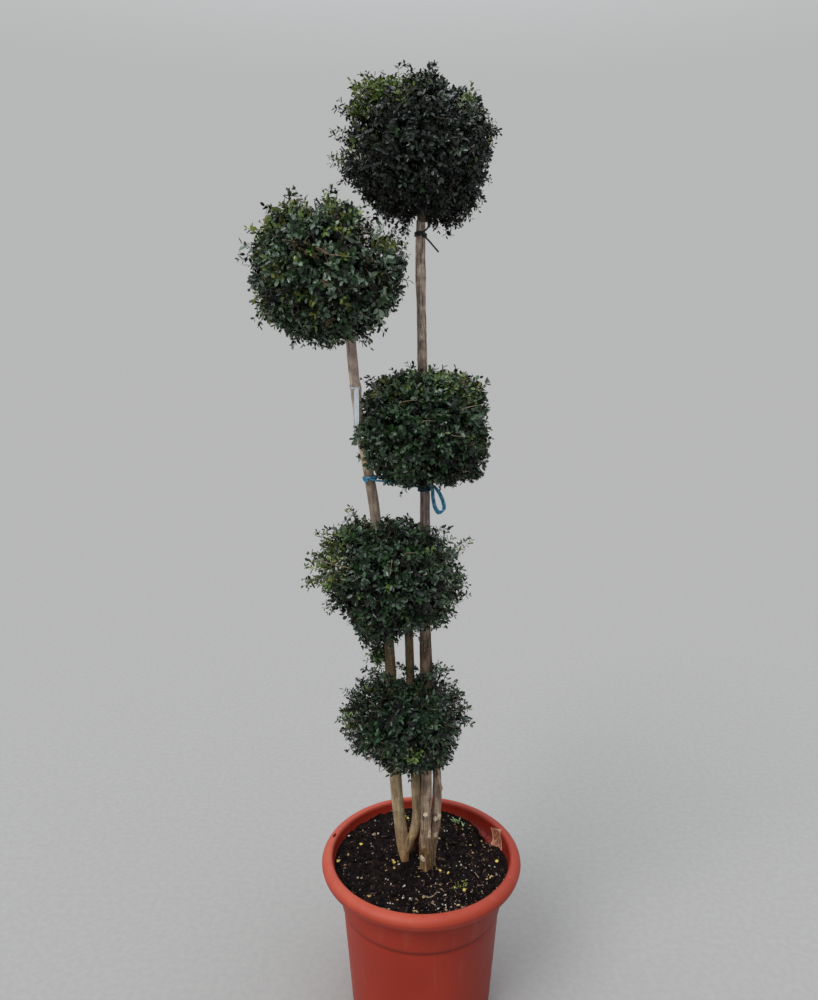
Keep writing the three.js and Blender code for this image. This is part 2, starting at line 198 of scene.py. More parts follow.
class Parts:
    """Collects faces of one kind of thing, to become one mesh."""

    def __init__(self):
        self.points = []
        self.corners = []
        self.sides = []
        self.finishes = []
        self.count = 0

    def add(self, points, faces, finish=0):
        points = np.asarray(points, float).reshape(-1, 3)
        faces = np.asarray(faces, np.int64)
        self.points.append(points)
        self.corners.append((faces + self.count).ravel())
        self.sides.append(np.full(len(faces), faces.shape[1]))
        self.finishes.append(np.broadcast_to(finish, len(faces)))
        self.count += len(points)

    def add_faces(self, faces, finish=0):
        """More faces between points that are there already."""
        self.add([], faces - self.count, finish)

    def add_copies(self, points, faces, finishes):
        """Many things with the same faces. Their points come thing by thing, with one finish for each."""
        corners = math.prod(points.shape[1:-1])
        offsets = (np.arange(len(points)) * corners)[:, None, None]
        self.add(points, (faces[None] + offsets).reshape(-1, faces.shape[1]), np.repeat(finishes, len(faces)))

    def mesh(self, name, smooth=True):
        mesh = bpy.data.meshes.new(name)
        points = np.concatenate(self.points)
        corners = np.concatenate(self.corners)
        sides = np.concatenate(self.sides)
        mesh.vertices.add(len(points))
        mesh.vertices.foreach_set("co", points.astype(np.float32).ravel())
        mesh.loops.add(len(corners))
        mesh.loops.foreach_set("vertex_index", corners.astype(np.int32))
        mesh.polygons.add(len(sides))
        starts = np.concatenate([[0], np.cumsum(sides)[:-1]])
        mesh.polygons.foreach_set("loop_start", starts.astype(np.int32))
        mesh.polygons.foreach_set("material_index", np.concatenate(self.finishes).astype(np.int32))
        mesh.polygons.foreach_set("use_smooth", np.full(len(sides), smooth))
        return mesh

    def piece(self, name, materials, nodes=()):
        """Makes the mesh, rides it on the one body and lets it stand for its CAD nodes."""
        mesh = self.mesh(name)
        for material in materials:
            mesh.materials.append(material)
        mesh.update(calc_edges=True)
        mesh.validate()
        made = new_object(name, mesh)
        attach(made, "root")
        if nodes:
            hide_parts(*nodes)
        return made


def ring_faces(rings, sides):
    """Four-sided faces between rings of points, each with the same number of points."""
    ring = np.arange(sides)
    following = np.roll(ring, -1)
    band = np.stack([ring, following, sides + following, sides + ring], 1)
    return np.concatenate([band + start for start in sides * np.arange(rings - 1)])


def add_tube(parts, path, radii, sides, finish=0):
    """A round bar along a path, with closed ends. Its section keeps from turning on the way."""
    path = np.asarray(path, float)
    radii = np.broadcast_to(radii, len(path))
    tangent = unit(np.gradient(path, axis=0))
    side = square_to(np.array((0.31, 0.87, 0.38)), tangent[0])
    turns = even_turns(sides)
    rings = []
    for point, way, radius in zip(path, tangent, radii):
        side = square_to(side, way)
        other = np.cross(way, side)
        rings.append(point + radius * (np.outer(np.cos(turns), side) + np.outer(np.sin(turns), other)))
    points = np.concatenate([*rings, path[:1], path[-1:]])
    parts.add(points, ring_faces(len(path), sides), finish)
    first = parts.count - 2
    ring = np.arange(sides)
    foot = fan_faces(parts.count - len(points) + ring, first, True)
    parts.add_faces(np.concatenate([foot, fan_faces(first - sides + ring, first + 1)]), finish)


def smooth_path(points, steps=12):
    """A centripetal curve through the points, as the CAD's stems follow."""
    points = np.asarray(points, float)
    ends = [2 * points[0] - points[1], *points, 2 * points[-1] - points[-2]]
    made = []
    for before, start, end, after in zip(ends, ends[1:], ends[2:], ends[3:]):
        gaps = [math.sqrt(np.linalg.norm(b - a)) for a, b in ((before, start), (start, end), (end, after))]
        leave = (start - before) / gaps[0] - (end - before) / (gaps[0] + gaps[1]) + (end - start) / gaps[1]
        arrive = (end - start) / gaps[1] - (after - start) / (gaps[1] + gaps[2]) + (after - end) / gaps[2]
        leave = leave * gaps[1]
        arrive = arrive * gaps[1]
        for i in range(steps):
            t = i / steps
            curve = start + leave * t + (3 * (end - start) - 2 * leave - arrive) * t**2
            made.append(curve + (2 * (start - end) + leave + arrive) * t**3)
    made.append(points[-1])
    return np.array(made)


# Finishes


def srgb(red, green, blue):
    """A colour as it is read off a screen, from 0 to 255, as the light that Blender works in."""
    shares = [value / 255 for value in (red, green, blue)]
    light = [s / 12.92 if s <= 0.04045 else ((s + 0.055) / 1.055) ** 2.4 for s in shares]
    return (*light, 1.0)


class Reading:
    """A value in a tree's wiring, which can be added, taken away and multiplied."""

    def __init__(self, wires, socket):
        self.wires = wires
        self.socket = socket

    def math(self, operation, first, second):
        return self.wires.read("Math", {0: first, 1: second}, operation=operation)

    def __add__(self, other):
        return self.math("ADD", self, other)

    def __sub__(self, other):
        return self.math("SUBTRACT", self, other)

    def __rsub__(self, other):
        return self.math("SUBTRACT", other, self)

    def __mul__(self, other):
        return self.math("MULTIPLY", self, other)


class Wiring:
    """Adds nodes to one tree and joins them."""

    def __init__(self, tree):
        self.tree = tree

    def add(self, kind, inputs=None, **settings):
        node = self.tree.nodes.new("ShaderNode" + kind)
        for name, value in settings.items():
            setattr(node, name, value)
        for name, value in (inputs or {}).items():
            self.feed(node.inputs[name], value)
        return node

    def read(self, kind, inputs=None, output=0, **settings):
        return Reading(self, self.add(kind, inputs, **settings).outputs[output])

    def feed(self, socket, value):
        if isinstance(value, Reading):
            self.tree.links.new(value.socket, socket)
        else:
            socket.default_value = value

    def mix(self, share, first, second, blend="MIX"):
        node = self.add("Mix", {"Factor": share, 6: first, 7: second}, data_type="RGBA", blend_type=blend)
        return Reading(self, node.outputs[2])

    def span(self, value, low, high, to_low=0.0, to_high=1.0):
        """The value moved from one range to another, eased at both ends."""
        inputs = {"Value": value, "From Min": low, "From Max": high, "To Min": to_low, "To Max": to_high}
        return self.read("MapRange", inputs, interpolation_type="SMOOTHSTEP")

    def noise(self, place, scale, detail=2.0, stretch=(1, 1, 1), roughness=0.5):
        scaled = self.read("Mapping", {"Vector": place, "Scale": stretch})
        inputs = {"Vector": scaled, "Scale": scale, "Detail": detail, "Roughness": roughness}
        return self.read("TexNoise", inputs)

    def grey(self, shade):
        return self.read("CombineColor", {0: shade, 1: shade, 2: shade})

    def split(self, place):
        """The three measures of a place: to the right, away from the viewer, and up."""
        outputs = self.add("SeparateXYZ", {0: place}).outputs
        return [Reading(self, outputs[axis]) for axis in range(3)]

    def group(self, tree, **inputs):
        """Uses an effect. Spaces in the names of its inputs are written as underscores."""
        node = self.add("Group", node_tree=tree)
        for label, value in inputs.items():
            self.feed(node.inputs[label.replace("_", " ")], value)
        return {socket.name: Reading(self, socket) for socket in node.outputs}

    def raise_surface(self, sockets, height, strength, distance):
        bump = self.read("Bump", {"Height": height, "Strength": strength, "Distance": distance})
        self.feed(sockets["Normal"], bump)


def new_group(name, inputs, outputs):
    """An empty effect with named inputs and outputs: its wiring, what comes in, and where results go."""
    tree = bpy.data.node_groups.new(name, "ShaderNodeTree")
    for label, kind, value in inputs:
        socket = tree.interface.new_socket(label, in_out="INPUT", socket_type="NodeSocket" + kind)
        if value is not None:
            socket.default_value = value
    for label, kind in outputs:
        tree.interface.new_socket(label, in_out="OUTPUT", socket_type="NodeSocket" + kind)
    wires = Wiring(tree)
    entry = tree.nodes.new("NodeGroupInput").outputs
    leave = tree.nodes.new("NodeGroupOutput").inputs
    return wires, {label: Reading(wires, entry[label]) for label, _, _ in inputs}, leave


def mottle_group():
    """Two colours in soft patches with fine speckles, with the patches' own mask and a height."""
    grey = (0.5, 0.5, 0.5, 1)
    inputs = [("Place", "Vector", None), ("Main Colour", "Color", grey), ("Patch Colour", "Color", grey)]
    inputs += [(label, "Float", 1.0) for label in ("Patch Scale", "Speckle Scale", "Speckle Strength")]
    outputs = [("Colour", "Color"), ("Patches", "Float"), ("Height", "Float")]
    wires, entry, leave = new_group("mottle", inputs, outputs)
    patches = wires.span(wires.noise(entry["Place"], entry["Patch Scale"], 4.0), 0.38, 0.64)
    speckle = wires.noise(entry["Place"], entry["Speckle Scale"], 3.0)
    colour = wires.mix(patches, entry["Main Colour"], entry["Patch Colour"])
    shade = wires.span(speckle, 0.3, 0.7, -1.0, 1.0) * entry["Speckle Strength"] + 1.0
    wires.feed(leave["Colour"], wires.mix(1.0, colour, wires.grey(shade), "MULTIPLY"))
    wires.feed(leave["Patches"], patches)
    wires.feed(leave["Height"], speckle)
    return wires.tree


def streak_group():
    """A mask of streaks that run up and down, broken along their length."""
    inputs = [("Place", "Vector", None)] + [(label, "Float", 1.0) for label in ("Scale", "Length", "Cover")]
    wires, entry, leave = new_group("upright_streaks", inputs, [("Mask", "Float")])
    flat = wires.read("CombineXYZ", {0: 1.0, 1: 1.0, 2: entry["Length"]})
    drawn = wires.read("VectorMath", {0: entry["Place"], 1: flat}, operation="MULTIPLY")
    noise = wires.noise(drawn, entry["Scale"], 5.0, roughness=0.6)
    low = 0.62 - entry["Cover"] * 0.25
    wires.feed(leave["Mask"], wires.span(noise, low, low + 0.12))
    return wires.tree


MOTTLE = mottle_group()
STREAKS = streak_group()


def mottle(wires, place, main, patch, scales, speckle):
    """The mottle effect. Its colours are as they are read off a screen, and its scales are a pair."""
    return wires.group(
        MOTTLE,
        Place=place,
        Main_Colour=srgb(*main),
        Patch_Colour=srgb(*patch),
        Patch_Scale=scales[0],
        Speckle_Scale=scales[1],
        Speckle_Strength=speckle,
    )


def new_material(name, roughness=0.6, gloss=0.5):
    """A material with its shader, its wiring and the place on the object, in metres."""
    material = bpy.data.materials.new(name)
    material.use_nodes = True
    sockets = material.node_tree.nodes["Principled BSDF"].inputs
    sockets["Roughness"].default_value = roughness
    sockets["Specular IOR Level"].default_value = gloss
    wires = Wiring(material.node_tree)
    return material, sockets, wires, wires.read("TexCoord", output="Object")


def mottled_material(name, main, patch, scales, speckle, roughness, bump=0.3, grain=0.0005, gloss=0.5):
    """A finish with soft patches and speckles, for crumbs, twigs and other small things."""
    material, sockets, wires, place = new_material(name, roughness, gloss)
    made = mottle(wires, place, main, patch, scales, speckle)
    wires.feed(sockets["Base Color"], made["Colour"])
    wires.raise_surface(sockets, made["Height"], bump, grain)
    return material


# The pot's plastic outside and inside, each as a main and a patch colour
POT_REDS = (((150, 41, 21), (158, 46, 27)), ((142, 36, 20), (150, 41, 24)))
# The height where the rim's fading starts, outside and inside
FADE_FROM = (0.362, 0.3835)
# Painted shade darkens the groove under the collar's step, and splashed soil fades up to the rim.
GROOVE_SHADE = ((0.2560, 0.2670), (0.2790, 0.2690))
SPLASH_FADE = (0.374, 0.350)
# The dried smear's two sides as turns round the pot, and how much they lean for each metre up
SMEAR_SPAN = (0.478, 0.25)
SMEAR_LEAN = 4.1
SMEAR_EDGE = 0.012


def smear_mask(wires, place, x, y, z):
    """The dried smear, in upright streaks with a paler outline. Its sides lean with the flared wall."""
    angle = wires.read("Math", {0: y, 1: x}, operation="ARCTAN2")
    across = angle - (z - 0.36) * SMEAR_LEAN
    top = z + angle * 0.081
    left, right = SMEAR_SPAN
    soft = SMEAR_EDGE
    within = wires.span(across, right - soft, right) * wires.span(across, left + soft, left)
    core_right = wires.span(across, right + soft, right + 2 * soft)
    core_left = wires.span(across, left - soft, left - 2 * soft)
    core = core_right * core_left * wires.span(top, 0.418, 0.4165)
    smear = within * wires.span(top, 0.4208, 0.4193) * wires.span(z, 0.338, 0.346)
    fibres = wires.group(STREAKS, Place=place, Scale=420.0, Length=0.05, Cover=0.55)
    patchy = wires.read("Math", {0: 1.0 - core * 0.85, 1: fibres["Mask"]}, operation="MAXIMUM")
    return smear * (patchy * 0.88)


def pot_plastic(name, inside):
    """Terracotta-coloured moulded plastic: satin, faded on its rim and dusty, with a dried smear inside. The
    faded rim is paler on the left as painted light, and painted shade darkens the right side and the groove
    under the step.
    """
    material, sockets, wires, place = new_material(name, gloss=0.3)
    made = mottle(wires, place, *POT_REDS[inside], (6.0, 620.0), 0.05)
    x, y, z = wires.split(place)
    worn = wires.span(wires.noise(place, 16.0, 3.0), 0.2, 0.8, 0.6, 1.0)
    faded = wires.span(z, FADE_FROM[inside], 0.391) * worn
    # Painted shade darkens the plastic on the right, most of all below the rim, and the rim's top is faded,
    # paler on the left as painted light.
    kept = wires.span(x, 0.03, 0.20, 0.0, 0.8) * wires.span(z, 0.385, 0.345, 0.4)
    colour = wires.mix(kept, made["Colour"], srgb(116, 25, 12))
    # Painted light: the faded rim is paler on the left, where the light falls.
    painted_light_left = wires.span(x, -0.20, 0.24, 0.76, 0.25)
    colour = wires.mix(faded * painted_light_left, colour, srgb(190, 92, 70))
    # Painted shade in the groove under the collar's step
    groove = wires.span(z, *GROOVE_SHADE[0]) * wires.span(z, *GROOVE_SHADE[1])
    colour = wires.mix(groove * 0.6, colour, srgb(92, 25, 16))
    streaks = wires.group(STREAKS, Place=place, Scale=42.0, Length=0.1, Cover=0.3)
    colour = wires.mix(streaks["Mask"] * 0.07, colour, srgb(190, 124, 106))
    rough = wires.span(made["Patches"], 0.0, 1.0, 0.44, 0.52)
    if inside:
        splash = wires.span(z, *SPLASH_FADE) * wires.span(wires.noise(place, 120.0, 5.0), 0.46, 0.62)
        colour = wires.mix(splash * 0.75, colour, srgb(48, 26, 20))
        colour = wires.mix(smear_mask(wires, place, x, y, z), colour, srgb(206, 158, 126))
        rough = rough + splash * 0.3
    wires.feed(sockets["Base Color"], colour)
    wires.feed(sockets["Roughness"], rough)
    waves = wires.noise(place, 26.0, 1.0, stretch=(1, 1, 0.35))
    wires.raise_surface(sockets, waves * 3.0 + made["Height"] * 0.12, 0.12, 0.001)
    return material


# Heights in metres over which the bark turns warm towards its foot, on the brown bark also darker as painted
# shade, and pale towards its crown
WARM_FOOT = (0.50, 0.38)
PALE_CROWN = (1.30, 1.42)
# Heights over which a band of painted shade on the bark fades in and out under a ball, and what its colour is
# multiplied by
BARK_SHADE_BANDS = (
    ((0.76, 0.84), (0.98, 0.93), (0.40, 0.37, 0.36, 1)),
    ((1.14, 1.18), (1.34, 1.30), (0.66, 0.68, 0.86, 1)),
)


def bark(name, pale, dark, cover, contrast, warm, crown=(1, 1, 1, 1)):
    """Smooth bark: soft patches, upright cracks and small cross marks, warmer at the foot, paler far up, with
    painted shade under balls and at the brown bark's foot.
    """
    material, sockets, wires, place = new_material(name, 0.8, 0.25)
    made = mottle(wires, place, pale, dark, (44.0, 900.0), 0.34)
    drawn = wires.noise(place, 150.0, 4.0, stretch=(1, 1, 0.09), roughness=0.65)
    grain = wires.grey(wires.span(drawn, 0.34, 0.66, 1 - contrast, 1 + 0.8 * contrast))
    colour = wires.mix(0.9, made["Colour"], grain, "MULTIPLY")
    cracks = wires.group(STREAKS, Place=place, Scale=260.0, Length=0.07, Cover=cover)["Mask"]
    colour = wires.mix(cracks * 0.75, colour, srgb(58, 40, 30))
    height = wires.split(place)[2]
    patchy = wires.span(wires.noise(place, 30.0, 3.0, stretch=(1, 1, 0.4)), 0.35, 0.65, 0.45, 1.0)
    # The foot's tint makes the bark warmer; on the brown bark it also darkens it, as painted shade.
    colour = wires.mix(wires.span(height, *WARM_FOOT) * patchy, colour, srgb(*warm), "MULTIPLY")
    # Painted shade darkens the bark between the two lowest balls, and a greyer painted shade darkens it under
    # the middle ball.
    for rise, fall, tint in BARK_SHADE_BANDS:
        band = wires.span(height, *rise) * wires.span(height, *fall)
        colour = wires.mix(band, colour, tint, "MULTIPLY")
    colour = wires.mix(wires.span(height, *PALE_CROWN), colour, crown, "MULTIPLY")
    dots = wires.span(wires.noise(place, 260.0, 1.0, stretch=(1, 1, 2.2)), 0.66, 0.73)
    colour = wires.mix(dots * 0.6, colour, srgb(206, 190, 166))
    wires.feed(sockets["Base Color"], colour)
    wires.raise_surface(sockets, made["Height"] - cracks * 1.8 + drawn + dots, 0.8, 0.0012)
    return material


def leaf_finish(name, upper, lower, roughness, gloss=0.4):
    """A glossy leaf, paler and duller underneath. The tone is dealt out by spray, so it is plain."""
    material, sockets, wires, _ = new_material(name, roughness, gloss)
    under = wires.read("NewGeometry", output="Backfacing")
    wires.feed(sockets["Base Color"], wires.mix(under, srgb(*upper), srgb(*lower)))
    wires.feed(sockets["Roughness"], under * 0.25 + roughness)
    return material


# The pot


def ellipse_points(centre, half_width, half_height, start, end, steps):
    angle = np.linspace(start, end, steps)
    return [(centre[0] + half_width * math.cos(a), centre[1] + half_height * math.sin(a)) for a in angle]


def straight(start, end, steps):
    """Points from the start up to but not with the end."""
    share = np.arange(steps)[:, None] / steps
    return list(map(tuple, np.asarray(start) * (1 - share) + np.asarray(end) * share))


POT_HEIGHT = 0.390
# The rolled rim: its outer side, the crest towards the inside, and the hollow under it
RIM_CENTRE = (0.2205, 0.371)
RIM_HALF = (0.0195, 0.019)
CREST_HALF = (0.0080, 0.0100)
HOLLOW_CENTRE = (0.2265, 0.371)
HOLLOW_HALF = (0.0100, 0.015)
WALL = 0.004
RIM_TUCK = math.radians(50)
CREASE = math.radians(5)
CREASE_DEPTH = 0.0013
CREASE_SOFTNESS = 0.016
BASE_CORNER = 0.006
BASE_RADIUS = 0.170
COLLAR_FOOT = 0.285
BODY_TOP_RADIUS = 0.191
COLLAR_RADII = (0.1940, 0.1989)
# The groove under the collar's step: how high and how deep
STEP_GROOVE = ((0.2605, 0.0002), (0.2630, 0.0010), (0.2652, 0.0016), (0.2672, 0.0017), (0.2684, 0.0010))
# Radius and height up the step's edge, over the collar's top, and round the corner inside the floor
STEP_EDGE = ((0.1912, 0.2690), (0.1926, 0.2698), (0.1934, 0.2708), (0.1937, 0.2730))
COLLAR_TOP = (
    (0.1997, 0.3452), (0.2018, 0.3468), (0.2055, 0.3482), (0.2088, 0.3502), (0.2110, 0.3545),
    (0.2132, 0.3600), (0.2150, 0.3665),
)
FLOOR_CORNER = ((0.1672, 0.0105), (0.1650, 0.0068), (0.1600, 0.005))
DRAIN_CIRCLE = 0.118
DRAIN_RADIUS = 0.007
DRAIN_HOLES = 6
FLOOR_THICK = 0.005
POT_SIDES = 180
# Where the small hole in the rim shows in the picture
RIM_HOLE_PLACE = (334.6, 835.5)
RIM_HOLE_DEPTH = (0.372, 0.40)
RIM_HOLE_RADIUS = 0.0036
RIM_HOLE_LONG = 2.5


def wall_radius(height):
    return np.interp(height, (0, COLLAR_FOOT), (BASE_RADIUS, BODY_TOP_RADIUS))


# The inner wall's radius from the bottom of the collar up to the rim, which the potting mix fits
INNER_WALL = (
    (0.2800, 0.1883), (0.2870, 0.1903), (0.3420, 0.1952), (0.3465, 0.1968), (0.3490, 0.1992),
    (0.3515, 0.2035), (0.3545, 0.2065), (0.3600, 0.2090), (0.3660, 0.2108), (0.3730, 0.2119),
)


def inner_radius(height):
    heights, radii = zip(*INNER_WALL)
    return np.interp(height, heights, radii)


def pot_profile():
    """The pot's section from the middle of its underside, up the outside, over the rim and down inside."""
    corner = BASE_CORNER
    profile = straight((0, 0), (BASE_RADIUS - corner, 0), 6)
    centre = (BASE_RADIUS - corner, corner)
    profile += ellipse_points(centre, corner + 0.0004, corner, -math.pi / 2, -0.08, 6)
    profile += straight((wall_radius(0.012), 0.012), (wall_radius(0.258), 0.258), 16)
    # A shallow groove runs round under the collar's step.
    profile += [(wall_radius(height) - depth, height) for height, depth in STEP_GROOVE]
    profile += STEP_EDGE
    profile += straight((COLLAR_RADII[0], 0.277), (COLLAR_RADII[1], 0.343), 6)
    profile += COLLAR_TOP
    # The hollow under the rolled rim
    hollow = ellipse_points(HOLLOW_CENTRE, *HOLLOW_HALF, math.pi * 0.98, -RIM_TUCK, 16)
    profile += hollow
    # The lip's edge is rounded between the under side and the outer side.
    lip = np.array([RIM_CENTRE[i] + RIM_HALF[i] * (math.cos, math.sin)[i](-RIM_TUCK) for i in (0, 1)])
    middle = (lip + hollow[-1]) / 2
    across = lip - hollow[-1]
    facing = math.atan2(across[1], across[0])
    half = np.linalg.norm(across) / 2
    profile += ellipse_points(middle, half, half, facing - math.pi, facing, 6)[1:-1]
    # Below a crease, the lower half of the rim's outer side stands back a little.
    lower = np.linspace(-RIM_TUCK, CREASE - 0.16, 11)
    near = np.linspace(CREASE - 0.13, CREASE + 0.13, 14)
    for turn in np.concatenate([lower, near, np.linspace(CREASE + 0.17, math.pi / 2, 16)]):
        back = CREASE_DEPTH / (1 + math.exp((turn - CREASE) / CREASE_SOFTNESS))
        wide, tall = RIM_HALF[0] - back, RIM_HALF[1] - back
        profile.append((RIM_CENTRE[0] + wide * math.cos(turn), RIM_CENTRE[1] + tall * math.sin(turn)))
    inside = len(profile) - 1
    crest = (RIM_CENTRE[0], POT_HEIGHT - CREST_HALF[1])
    profile += ellipse_points(crest, *CREST_HALF, math.pi / 2 + 0.1, math.pi, 12)
    profile += [(radius, height) for height, radius in reversed(INNER_WALL)]
    profile += straight((wall_radius(0.276) - WALL, 0.276), (wall_radius(0.016) - WALL, 0.016), 12)
    profile += FLOOR_CORNER
    profile += straight((0.155, FLOOR_THICK), (0, FLOOR_THICK), 6)
    return np.array(profile), inside


def cut_holes(target, cutters):
    """Cuts round bars out of a mesh for good."""
    for cutter in cutters:
        step = target.modifiers.new("hole", "BOOLEAN")
        step.object = cutter
        step.operation = "DIFFERENCE"
        step.solver = "EXACT"
    bpy.context.view_layer.update()
    shaped = target.evaluated_get(bpy.context.evaluated_depsgraph_get())
    mesh = bpy.data.meshes.new_from_object(shaped)
    target.modifiers.clear()
    target.data = mesh
    for cutter in cutters:
        bpy.data.objects.remove(cutter)


def hole_cutter(x, y, low, high, radius, long=1.0):
    """A bar that cuts a hole through the pot, round or drawn out along the rim."""
    cutter = Parts()
    add_tube(cutter, [(0, 0, low), (0, 0, (low + high) / 2), (0, 0, high)], radius, 20)
    mesh = cutter.mesh("cutter", smooth=False)
    mesh.update(calc_edges=True)
    made = new_object("cutter", mesh)
    made.location = (x, y, 0)
    made.rotation_euler = (0, 0, math.atan2(y, x))
    made.scale = (1, long, 1)
    return made


def build_pot():
    profile, inside = pot_profile()
    ring = level_ways(even_turns(POT_SIDES))
    points = np.concatenate([ring * radius + UP * height for radius, height in profile[1:]])
    # A moulded pot is never quite round: the wall bows a little, most of all at the rim.
    lift = np.clip(points[:, 2] / POT_HEIGHT, 0, 1)
    bow = smooth_noise(points * (1, 1, 0.2), 0.16, 7) * 0.0012 * lift
    points = points + unit(points * (1, 1, 0)) * bow[:, None]
    parts = Parts()
    faces = ring_faces(len(profile) - 1, POT_SIDES)
    finish = (np.arange(len(faces)) // POT_SIDES >= inside).astype(int)
    centres = [(0, 0, profile[0][1]), (0, 0, profile[-1][1])]
    parts.add(np.concatenate([points, centres]), faces, finish)
    across = np.arange(POT_SIDES)
    parts.add_faces(fan_faces(across, len(points), True))
    parts.add_faces(fan_faces(len(points) - POT_SIDES + across, len(points) + 1), 1)
    finishes = [pot_plastic("pot_plastic", False), pot_plastic("pot_plastic_inside", True)]
    pot = parts.piece("pot_shell", finishes, ["pot"])
    cutters = []
    for x, y, _ in level_ways(even_turns(DRAIN_HOLES)) * DRAIN_CIRCLE:
        cutters.append(hole_cutter(x, y, -2 * FLOOR_THICK, FLOOR_THICK + 0.0002, DRAIN_RADIUS))
    x, y, _ = at_height(*RIM_HOLE_PLACE, POT_HEIGHT - 0.001)
    cutters.append(hole_cutter(x, y, *RIM_HOLE_DEPTH, RIM_HOLE_RADIUS, RIM_HOLE_LONG))
    cut_holes(pot, cutters)
    return pot


# The potting mix and what lies on it

SOIL_LEVEL = 0.3492
# How high the potting mix stands up the wall at every 30 degrees round the pot, from the right side round
# by the back
SOIL_EDGE = (0.362, 0.345, 0.361, 0.366, 0.366, 0.364, 0.363, 0.358, 0.353, 0.351, 0.352, 0.357)
SOIL_CELLS = 190
# Small heaps round the stems' feet: x, y and height
SOIL_HEAPS = ((0.014, -0.036, 0.0110), (-0.040, -0.002, 0.007), (0.030, -0.008, 0.003))
HEAP_WIDTH = 0.030
# Heights down the potting mix's side, and the gap that it keeps from the wall there
SOIL_SIDE_LEVELS = (0.335, 0.285, 0.27, 0.14, 0.0055)
SOIL_GAP = 0.0012
# How far out things are strewn, and how far they keep from the wall
STREWN_REACH = 0.198
WALL_CLEARANCE = 0.004


def soil_edge(points):
    turn = np.degrees(np.arctan2(points[..., 1], points[..., 0]))
    return np.interp(turn, 30 * np.arange(12), SOIL_EDGE, period=360)


def soil_height(points):
    """The height of the potting mix under each point: dished, uneven, crumbly, and heaped round the stems."""
    flat = np.asarray(points, float) * (1, 1, 0)
    edge = soil_edge(flat)
    share = np.clip(np.linalg.norm(flat, axis=-1) / inner_radius(edge), 0, 1)
    height = SOIL_LEVEL + (edge - SOIL_LEVEL) * share**2.6
    height = height + 0.0026 * layered_noise(flat, 0.055, 3) * (1 - 0.6 * share)
    height = height + 0.0024 * layered_noise(flat, 0.012, 9, 4)
    for x, y, heap in SOIL_HEAPS:
        height = height + heap * fading(np.hypot(flat[..., 0] - x, flat[..., 1] - y), HEAP_WIDTH)
    return height


def soil_point(x, y):
    """The point on the potting mix that shows at a place in the picture."""
    height = SOIL_LEVEL
    for _ in range(6):
        point = at_height(x, y, height)
        height = float(soil_height(point))
    return at_height(x, y, height)


def soil_points(places):
    return np.array([soil_point(x, y) for x, y in places])


def disc_grid(cells):
    """A square grid of points from -1 to 1 drawn out to fill a round disc evenly."""
    line = np.linspace(-1, 1, cells + 1)
    a, b = np.meshgrid(line, line, indexing="ij")
    big = np.maximum(np.abs(a), np.abs(b))
    small = np.minimum(np.abs(a), np.abs(b))
    share = np.divide(small, big, out=np.zeros_like(big), where=big > 0)
    angle = share * math.pi / 4
    long_side = big * np.cos(angle)
    short_side = big * np.sin(angle)
    x = np.where(np.abs(a) >= np.abs(b), long_side, short_side) * np.sign(a)
    y = np.where(np.abs(a) >= np.abs(b), short_side, long_side) * np.sign(b)
    return x, y


def build_soil():
    x, y = disc_grid(SOIL_CELLS)
    top = np.stack([x, y, np.zeros_like(x)], -1)
    top[..., :2] *= (inner_radius(soil_edge(top)) - 0.0002)[..., None]
    top[..., 2] = soil_height(top)
    top = top.reshape(-1, 3)
    quads, edge = grid_faces(SOIL_CELLS + 1, SOIL_CELLS + 1)
    outward = unit(top[edge] * (1, 1, 0))
    below = []
    for height in SOIL_SIDE_LEVELS:
        radius = inner_radius(height) if height > INNER_WALL[0][0] else wall_radius(height) - WALL
        below.append(outward * (radius - SOIL_GAP) + UP * height)
    points = np.concatenate([top, *below, [UP * SOIL_SIDE_LEVELS[-1]]])
    parts = Parts()
    parts.add(points, quads[:, (0, 3, 2, 1)])
    upper = edge
    for level in range(len(below)):
        lower = len(top) + level * len(edge) + np.arange(len(edge))
        parts.add_faces(np.stack([upper, lower, np.roll(lower, -1), np.roll(upper, -1)], 1))
        upper = lower
    parts.add_faces(fan_faces(upper, len(points) - 1, True))
    finish = mottled_material(
        "potting_mix", (9, 6, 7), (31, 21, 20), (70.0, 380.0), 0.7, 0.9, bump=1.0, grain=0.0022, gloss=0.1
    )
    return parts.piece("potting_mix", [finish], ["potting_soil"])


def round_shape(detail):
    """Points and faces of a ball of small triangles, one across its radius."""
    work = bmesh.new()
    bmesh.ops.create_icosphere(work, subdivisions=detail, radius=1)
    points = np.array([corner.co[:] for corner in work.verts])
    faces = np.array([[corner.index for corner in face.verts] for face in work.faces])
    work.free()
    return points, faces


SMALL_BALL = round_shape(1)
FINE_BALL = round_shape(2)


def random_turns(random, count):
    """One random rotation for each thing, as three directions square to each other."""
    first = unit(random.normal(size=(count, 3)))
    second = square_to(random.normal(size=(count, 3)), first)
    return np.stack([first, second, np.cross(first, second)], 1)


def level_lying(random, count, low, high):
    """Random ways round about, each rising by an amount from low to high."""
    ways = level_ways(random.uniform(0, TURN, count))
    ways[:, 2] = random.uniform(low, high, count)
    return ways


def scatter_lumps(parts, random, places, sizes, flatness, finishes, shape):
    """Uneven lumps at the given places, each turned and stretched its own way."""
    points, faces = shape
    count = len(places)
    rough = 1 + 0.28 * random.normal(size=(count, len(points), 1)).clip(-1.4, 1.4)
    stretch = 1 + random.uniform(-0.3, 0.3, (count, 1, 3))
    stretch[..., 2] *= flatness
    lumps = np.einsum("nij,nki->nkj", random_turns(random, count), points[None] * rough * stretch)
    parts.add_copies(places[:, None] + lumps * sizes[:, None, None] / 2, faces, finishes)


